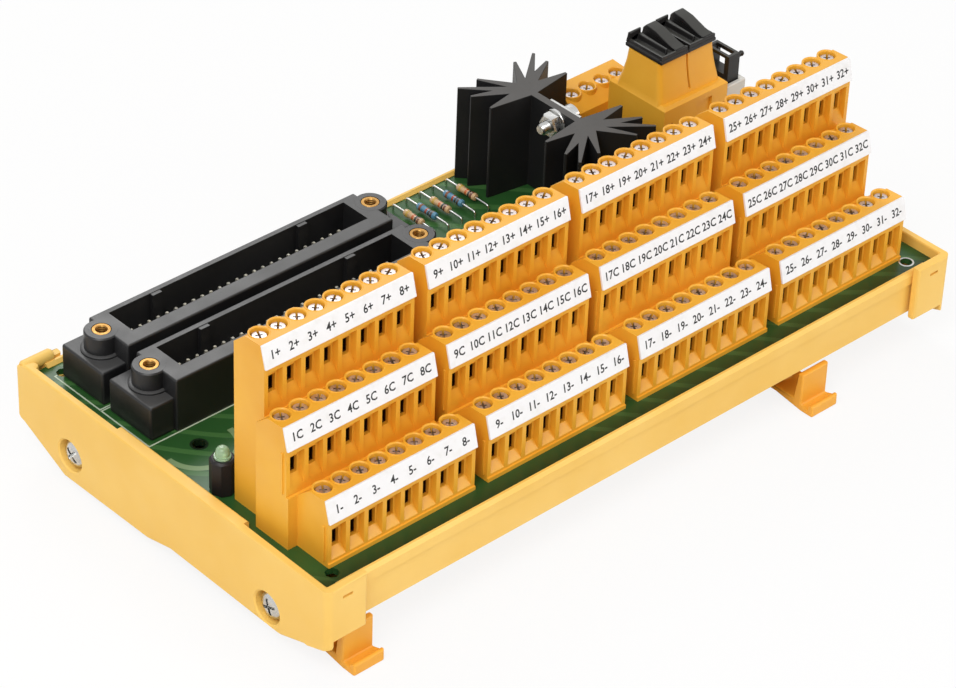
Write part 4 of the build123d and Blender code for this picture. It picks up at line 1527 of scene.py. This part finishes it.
@dataclass
class PowerParts(Assembly):
    """Heat sink with its regulator, fuse block and link plug."""

    board_top: float = 17.8
    sink_x: float = 43.8
    sink_y: float = 47.6
    sink_top: float = 43.2
    hub_y: float = 10.3
    fin_tips: Outline = ((12.4, -0.8), (12.5, 6.0), (12.4, 10.7), (6.2, 10.7))
    fin_roots: tuple[float, ...] = (4.9, 8.4, 4.9)
    fin_half: float = 0.38
    screw_y: float = 46.3
    screw_z: float = 39.8
    tower_x: Pair = (70.0, 79.2)
    tower_y: float = 41.0
    tower_middle: float = 74.6
    tower_corner: float = 1.6
    split_x: Pair = (74.3, 74.9)
    tower_rings: Sequence[Point] = (
        (10.4, 7.7, 41.0),
        (10.15, 7.2, 43.0),
        (9.75, 6.5, 45.6),
        (9.4, 5.9, 48.4),
        (9.2, 5.5, 51.75),
    )
    base_top: float = 41.75
    fuse_foot: float = 25.0
    fuse_ends: Pair = (31.0, 39.0)
    fuse_top: float = 45.0
    carrier_plate: float = 53.0
    grips: tuple[tuple[Point, Point], ...] = (
        ((-4.3, -5.9, -0.3), (-3.6, 5.6, 1.0)),
        ((3.5, -5.9, -0.3), (4.3, 5.9, 0.9)),
        ((-4.3, -5.95, -0.3), (4.3, -5.2, 0.9)),
        ((-4.3, 5.1, -0.3), (-0.4, 5.9, 2.6)),
        ((-1.5, -4.4, -0.3), (-0.8, 5.4, 1.5)),
    )
    link_middle: Pair = (89.75, 37.75)

    def fixing(self) -> None:
        """Fits the washer, nut and threaded screw on the web."""
        web = self.sink_x - 1.0
        place = (web, self.screw_y, self.screw_z)
        rings = ((3.5, 0.0), (3.5, 0.45), (3.35, 0.6))
        washer = Bench.turned("regulator_washer_finished", rings, place, Way.BACK_X, 36)
        Bench.cut(washer, Bench.turned("bore_cut", ((1.6, -1.0), (1.6, 2.0)), place, Way.BACK_X, 24))
        self.fit(washer, self.palette.steel, "screw_steel", ("regulator_washer",))
        seat = (web - 0.6, self.screw_y, self.screw_z)
        rings = ((2.75, 0.0), (3.17, 0.3), (3.17, 2.1), (2.75, 2.4))
        nut = Bench.turned("regulator_nut_finished", rings, seat, Way.BACK_X, 6)
        Bench.cut(nut, Bench.turned("bore_cut", ((1.52, -1.0), (1.52, 4.0)), seat, Way.BACK_X, 24))
        self.fit(nut, self.palette.steel, "screw_steel", ("regulator_nut",))
        rings = [(2.8, -2.0), (2.8, 0.0), (1.5, 0.0)]
        for number in range(7):
            height = 6.0 + number * 0.35
            rings += [(1.5, height), (1.32, height + 0.17)]
        rings.append((1.1, 8.65))
        head = (self.sink_x + 1.0 + 1.3, self.screw_y, self.screw_z)
        screw = Bench.smooth(Bench.turned("regulator_screw_finished", rings, head, Way.BACK_X, 28), 30.0)
        self.fit(screw, self.palette.steel, "screw_steel", ("regulator_screw",))

    def sink(self) -> None:
        """Fits the heat sink: wedge fins that run together at two hubs on a thin web."""
        side = [(1.0, -2.9)]
        for number, tip in enumerate(self.fin_tips):
            along = Vector(tip).normalized()
            across = Vector((-along.y, along.x)) * self.fin_half
            side += [tuple(Vector(tip) - across), tuple(Vector(tip) + across)]
            if number < len(self.fin_roots):
                middle = (along + Vector(self.fin_tips[number + 1]).normalized()).normalized()
                side.append(tuple(middle * self.fin_roots[number]))
        upper = side + [(0.0, 3.3)] + [(-x, y) for x, y in reversed(side)]
        outline = [(self.sink_x + x, self.sink_y + self.hub_y + y) for x, y in upper]
        outline += [(self.sink_x - x, self.sink_y - self.hub_y - y) for x, y in upper]
        piece = Bench.upright("heat_sink_finished", outline, self.board_top, self.sink_top)
        place = (self.sink_x, self.screw_y, self.screw_z)
        Bench.cut(piece, Bench.turned("bore_cut", ((1.6, -3.0), (1.6, 3.0)), place, Way.X, 24))
        self.fit(Bench.ease(piece, 0.12, 1), self.palette.anodised, "anodised_black", ("heat_sink",))

    def carrier(self, node: str, x: float, body: str) -> None:
        """Fits a fuse carrier: CAD plug and plate, with a moulded grip on top.

        Args:
            node: The CAD node.
            x: Middle of its tower.
            body: The body it rides on.
        """
        y, plate = self.tower_y, self.carrier_plate
        piece = Bench.refine(node)
        Bench.cut(piece, Bench.box("grip_cut", (x - 6.0, y - 8.0, plate), (x + 6.0, y + 8.0, plate + 6.0)))
        ridge = (
            (y - 5.7, plate - 0.3),
            (y - 5.7, plate + 1.1),
            (y - 3.2, plate + 1.5),
            (y + 1.2, plate + 3.0),
            (y + 4.6, plate + 3.4),
            (y + 5.7, plate + 2.2),
            (y + 5.7, plate - 0.3),
        )
        forms = [Bench.prism("ridge_add", ridge, x + 0.5, 3.3)]
        for grip in self.grips:
            low, high = ((x + right, y + back, plate + up) for right, back, up in grip)
            forms.append(Bench.box("grip_add", low, high))
        for form in forms:
            Bench.add(piece, form)
        Bench.round_off(piece, 0.3, 1.2, 2)
        self.fit(piece, self.palette.carrier, "carrier_black", (node,), body)

    def fuse_housing(self) -> None:
        """Fits the fuse block with towers that flare into its base."""
        piece = Bench.refine("fuse_base")
        Bench.cut(piece, Bench.box("tower_cut", (60.0, 28.0, self.base_top), (90.0, 55.0, 60.0)))
        middle = (self.tower_middle, self.tower_y)
        tower = Bench.loft("tower_add", self.tower_rings, middle, self.tower_corner)
        Bench.add(piece, tower)
        for x in self.tower_x:
            Bench.cut(piece, Bench.box("well_cut", (x - 3.4, 36.7, 40.0), (x + 3.4, 45.3, 60.0)))
        low, high = self.split_x
        for y, far in ((31.0, 35.9), (46.1, 51.0)):
            Bench.cut(piece, Bench.box("split_cut", (low, y, 42.6), (high, far, 55.0)))
        for x, wide, high in ((66.4, 2.0, 37.0), (77.8, 5.2, 39.4), (84.2, 1.6, 36.0)):
            step = Bench.box("step_cut", (x - wide / 2, 31.0, high - 6.0), (x + wide / 2, 32.3, high))
            Bench.cut(piece, step)
        Bench.smooth(piece, 40.0)
        self.fit(piece, self.palette.terminal, "terminal_plastic", ("fuse_base",))

    def link(self) -> None:
        """Fits the link plug: an open frame with a small knob."""
        x, y = self.link_middle
        piece = Bench.refine("link_plug")
        Bench.cut(piece, Bench.box("opening_cut", (x - 1.0, y - 2.9, 44.2), (x + 1.0, y + 2.9, 47.0)))
        Bench.add(piece, Bench.box("arm_add", (x + 1.2, y - 3.8, 44.6), (x + 2.9, y - 2.9, 45.5)))
        rings = ((0.3, -0.65), (0.6, -0.4), (0.75, 0.0), (0.6, 0.4), (0.3, 0.65))
        Bench.add(piece, Bench.turned("knob_add", rings, (x + 2.9, y - 3.35, 45.1), Way.X, 16))
        Bench.round_off(piece, 0.2, 1.2, 2)
        self.fit(piece, self.palette.carrier, "carrier_black", ("link_plug",), "link")

    def fuses(self) -> None:
        """Fits the fuse links, seen when a carrier is pulled."""
        low, high = self.fuse_ends
        glass, cap = 2.4, 2.6
        lower = ((glass, self.fuse_foot), (cap, self.fuse_foot + 0.2), (cap, low - 0.2), (glass, low))
        upper = ((glass, high), (cap, high + 0.2), (cap, self.fuse_top - 0.2), (glass, self.fuse_top))
        for number, x in enumerate(self.tower_x, start=1):
            rings = (*lower, *upper)
            fuse = Bench.turned(f"fuse_{number}_finished", rings, (x, self.tower_y, 0), Way.Z, 28)
            Bench.smooth(fuse, 35.0)
            body = f"fuse_{number}_carrier"
            glow = GlassFuse("fuse_glass", low + 0.1, high - 0.1)
            self.fit(fuse, glow, "fuse_glass", (f"fuse_{number}",), body)
            self.carrier(f"fuse_carrier_{number}", x, body)

    def build(self) -> None:
        """Builds the power parts."""
        self.sink()
        self.soften("regulator_body", 0.2, 1.0, self.palette.package, "component_black")
        self.soften("regulator_tab", 0.12, 3.0, self.palette.tinned, "tab_metal")
        self.keep("regulator_leads", self.palette.tinned)
        self.fixing()
        self.fuse_housing()
        # The contacts take the dark clamp finish, whose darkness is painted shade inside the wells.
        self.keep("fuse_contacts", self.palette.clamp)
        self.fuses()
        self.soften("link_socket", 0.3, 2.0, self.palette.socket, "socket_grey")
        self.link()


@dataclass
class BoardParts(Assembly):
    """The circuit board with its lands, status lamp and resistors."""

    board_top: float = 17.8
    lamp: Pair = (-88.6, 10.3)
    lamp_foot: float = 26.8
    resistor_first: float = 6.5
    resistor_step: float = 4.26
    resistor_y: float = 60.2
    lead_reach: float = 7.8
    lift: float = 1.5
    lands: tuple[Pair, ...] = ((88.9, 66.2), (88.9, -26.2))
    frames: tuple[Four, ...] = (
        (-91.2, 32.3, 2.3, 49.1),
        (-91.2, 49.7, 2.3, 65.9),
        (56.6, 53.6, 79.6, 65.6),
        (63.4, 30.8, 94.0, 51.2),
    )

    def board(self) -> None:
        """Finishes the board and adds its tinned lands."""
        mask = SolderMask("board_green", (44, 88, 42), (72, 116, 62), (196, 208, 186), self.frames)
        self.keep("circuit_board", mask)
        rings = ((1.9, 0.0), (1.9, 0.05), (1.5, 0.06))
        model = Bench.turned("land_model", rings, (0, 0, self.board_top), Way.Z, 28)
        cut = Bench.turned("bore_cut", ((1.48, -1.0), (1.48, 1.0)), (0, 0, self.board_top), Way.Z, 28)
        Bench.cut(model, cut)
        piece = Bench.repeat(model, "board_lands", [shift(x, y) for x, y in self.lands])
        self.fit(piece, self.palette.tinned, "lead_tin")

    def lamp_parts(self) -> None:
        """Fits the lamp's spacer and domed lens."""
        x, y = self.lamp
        foot, top = self.board_top, self.lamp_foot
        rings = ((2.7, foot), (2.95, foot + 0.3), (2.95, top - 0.5), (2.5, top))
        spacer = Bench.smooth(Bench.turned("led_spacer_finished", rings, (x, y, 0), Way.Z, 8), 35.0)
        self.fit(spacer, self.palette.spacer, "component_black", ("led_spacer",))
        rings = [(1.9, top), (1.95, top + 0.2), (1.9, top + 0.5), (1.6, top + 0.55)]
        for step in range(1, 9):
            angle = step * math.pi / 17
            rings.append((1.6 * math.cos(angle) ** 0.6, top + 0.95 + 1.75 * math.sin(angle)))
        lens = Bench.smooth(Bench.turned("led_lens_finished", rings, (x, y, 0), Way.Z, 32), 40.0)
        self.fit(lens, self.palette.lens, "lens_green", ("led_lens",))

    def resistors(self) -> None:
        """Fits the resistors: dog-bone bodies and bent leads."""
        z = self.board_top + self.lift
        rings = ((0.3, -3.2), (0.8, -3.1), (0.95, -2.7), (0.95, -1.7), (0.78, -1.35))
        rings += tuple((radius, -height) for radius, height in reversed(rings))
        places = [self.resistor_first + number * self.resistor_step for number in range(6)]
        for name, start, finish in (("blue", 0, self.palette.blue), ("tan", 1, self.palette.tan)):
            body = Bench.turned("resistor_model", rings, (0, self.resistor_y, z), Way.Y, 20)
            Bench.smooth(body, 45.0)
            piece = Bench.repeat(body, f"resistors_{name}_finished", [shift(x) for x in places[start::2]])
            self.fit(piece, finish, f"resistor_{name}", (f"resistors_{name}",))
        lead = self.lead(z)
        turn = Matrix.Rotation(math.pi, 4, "Z")
        spots = [shift(x, self.resistor_y) for x in places]
        spots += [shift(x, self.resistor_y) @ turn for x in places]
        piece = Bench.repeat(lead, "resistor_leads_finished", spots)
        self.fit(piece, self.palette.tinned, "lead_tin", ("resistor_leads",))

    def lead(self, height: float) -> Piece:
        """Models one bent lead, from the body outwards along Y.

        Args:
            height: Height of the resistor's axis.

        Returns:
            The lead.
        """
        Bench.rest()
        end = self.lead_reach - 0.3
        bend = ((end - 0.7, height), (end - 0.25, height - 0.1), (end, height - 0.55))
        path = ((3.0, height), *bend, (end, self.board_top))
        curve = bpy.data.curves.new("lead_path", "CURVE")
        curve.dimensions = "3D"
        curve.bevel_depth = 0.27 * MM
        curve.bevel_resolution = 2
        curve.use_fill_caps = True
        spline = curve.splines.new("POLY")
        spline.points.add(len(path) - 1)
        for point, (y, z) in zip(spline.points, path):
            point.co = (0.0, y * MM, z * MM, 1.0)
        piece = bpy.data.objects.new("lead_model", curve)
        Bench.hang(piece)
        Bench.take(piece)
        bpy.ops.object.convert(target="MESH")
        return Bench.smooth(bpy.context.object, 50.0)

    def build(self) -> None:
        """Builds the board and its small parts."""
        self.board()
        self.lamp_parts()
        self.resistors()


@dataclass
class Studio:
    """Pale floor, soft lamps and the camera."""

    eye: Point = (-0.487862, -0.481796, 0.516981)
    right: Point = (0.736575, -0.675563, 0.032731)
    down: Point = (-0.377461, -0.450742, -0.808922)
    ahead: Point = (0.561231, 0.583477, -0.587004)
    lens: float = 141.29
    floor_z: float = -3.9
    floor_share: float = 0.86
    floor_grey: Four = (0.86, 0.86, 0.86, 1.0)
    soft_colour: Colour = (1.0, 0.985, 0.96)
    soft_strength: float = 0.5
    aim: Point = (0.0, 0.02, 0.03)
    lamps: tuple[tuple[str, Point, float, float], ...] = (
        ("key", (-0.55, -0.25, 0.75), 0.5, 5.0),
        ("fill", (0.5, -0.9, 0.45), 0.6, 3.0),
        ("rim", (0.3, 0.7, 0.7), 0.4, 2.5),
    )

    def camera(self) -> None:
        """Places the camera at the photograph's viewpoint."""
        data = bpy.data.cameras.new("camera")
        data.lens = self.lens
        data.sensor_width = 36.0
        data.clip_start = 0.01
        camera = bpy.data.objects.new("camera", data)
        Bench.hang(camera)
        axes = Matrix((Vector(self.right), -Vector(self.down), -Vector(self.ahead))).transposed()
        camera.matrix_world = Matrix.Translation(self.eye) @ axes.to_4x4()
        bpy.context.scene.camera = camera

    def lamp(self, name: str, place: Point, size: float, power: float) -> None:
        """Adds a soft area lamp that points at the module.

        Args:
            name: Its name.
            place: Where it hangs, in metres.
            size: Its side.
            power: Its power in watts.
        """
        data = bpy.data.lights.new(name, "AREA")
        data.size = size
        data.energy = power
        lamp = bpy.data.objects.new(name, data)
        Bench.hang(lamp)
        aim = Vector(self.aim) - Vector(place)
        lamp.matrix_world = Matrix.Translation(place) @ aim.to_track_quat("-Z", "Y").to_matrix().to_4x4()

    def world(self) -> None:
        """Sets an even pale world, white behind the module."""
        world = bpy.data.worlds.new("studio")
        bpy.context.scene.world = world
        world.use_nodes = True
        nodes, links = world.node_tree.nodes, world.node_tree.links
        nodes.clear()
        path = nodes.new("ShaderNodeLightPath")
        seen = path.outputs["Is Camera Ray"]
        for ray in ("Is Transmission Ray", "Is Glossy Ray"):
            either = nodes.new("ShaderNodeMath")
            either.operation = "MAXIMUM"
            links.new(seen, either.inputs[0])
            links.new(path.outputs[ray], either.inputs[1])
            seen = either.outputs[0]
        mix = nodes.new("ShaderNodeMixShader")
        links.new(seen, mix.inputs[0])
        skies = ((self.soft_colour, self.soft_strength), ((1.0, 1.0, 1.0), 1.0))
        for place, (colour, strength) in enumerate(skies, start=1):
            sky = nodes.new("ShaderNodeBackground")
            sky.inputs["Color"].default_value = (*colour, 1.0)
            sky.inputs["Strength"].default_value = strength
            links.new(sky.outputs[0], mix.inputs[place])
        out = nodes.new("ShaderNodeOutputWorld")
        links.new(mix.outputs[0], out.inputs[0])

    def floor(self) -> None:
        """Lays a pale floor that keeps a faint shadow."""
        Bench.rest()
        bpy.ops.mesh.primitive_plane_add(size=8.0, location=(0, 0, self.floor_z * MM))
        floor = Bench.freeze("floor")
        shader = Shader("floor_white")
        shader.shine({"Base Color": self.floor_grey, "Roughness": 0.9, "Specular IOR Level": 0.1})
        white = shader.tree.nodes.new("ShaderNodeEmission")
        mix = shader.tree.nodes.new("ShaderNodeMixShader")
        seen = shader.node("ShaderNodeLightPath", {}, {}, "Is Camera Ray")
        shader.feed(mix, {0: seen * self.floor_share})
        shader.tree.links.new(shader.surface.outputs[0], mix.inputs[1])
        shader.tree.links.new(white.outputs[0], mix.inputs[2])
        out = next(node for node in shader.tree.nodes if node.type == "OUTPUT_MATERIAL")
        shader.tree.links.new(mix.outputs[0], out.inputs[0])
        floor.data.materials.append(shader.material)

    def build(self) -> None:
        """Sets the whole studio."""
        bpy.context.scene.view_settings.view_transform = "Standard"
        self.camera()
        self.world()
        self.floor()
        for name, place, size, power in self.lamps:
            self.lamp(name, place, size, power)


def main() -> None:
    """Builds the sub-assemblies in order."""
    logging.basicConfig(level=logging.INFO, format="%(message)s")
    palette = Palette()
    Studio().build()
    for assembly in (TrayAndCaps, Headers, PowerParts, BoardParts, SupplyRow, TerminalBlocks):
        assembly(palette).build()
        log.info("%s is done", assembly.__name__)
    Bench.rest()


if __name__ == "__main__":
    main()
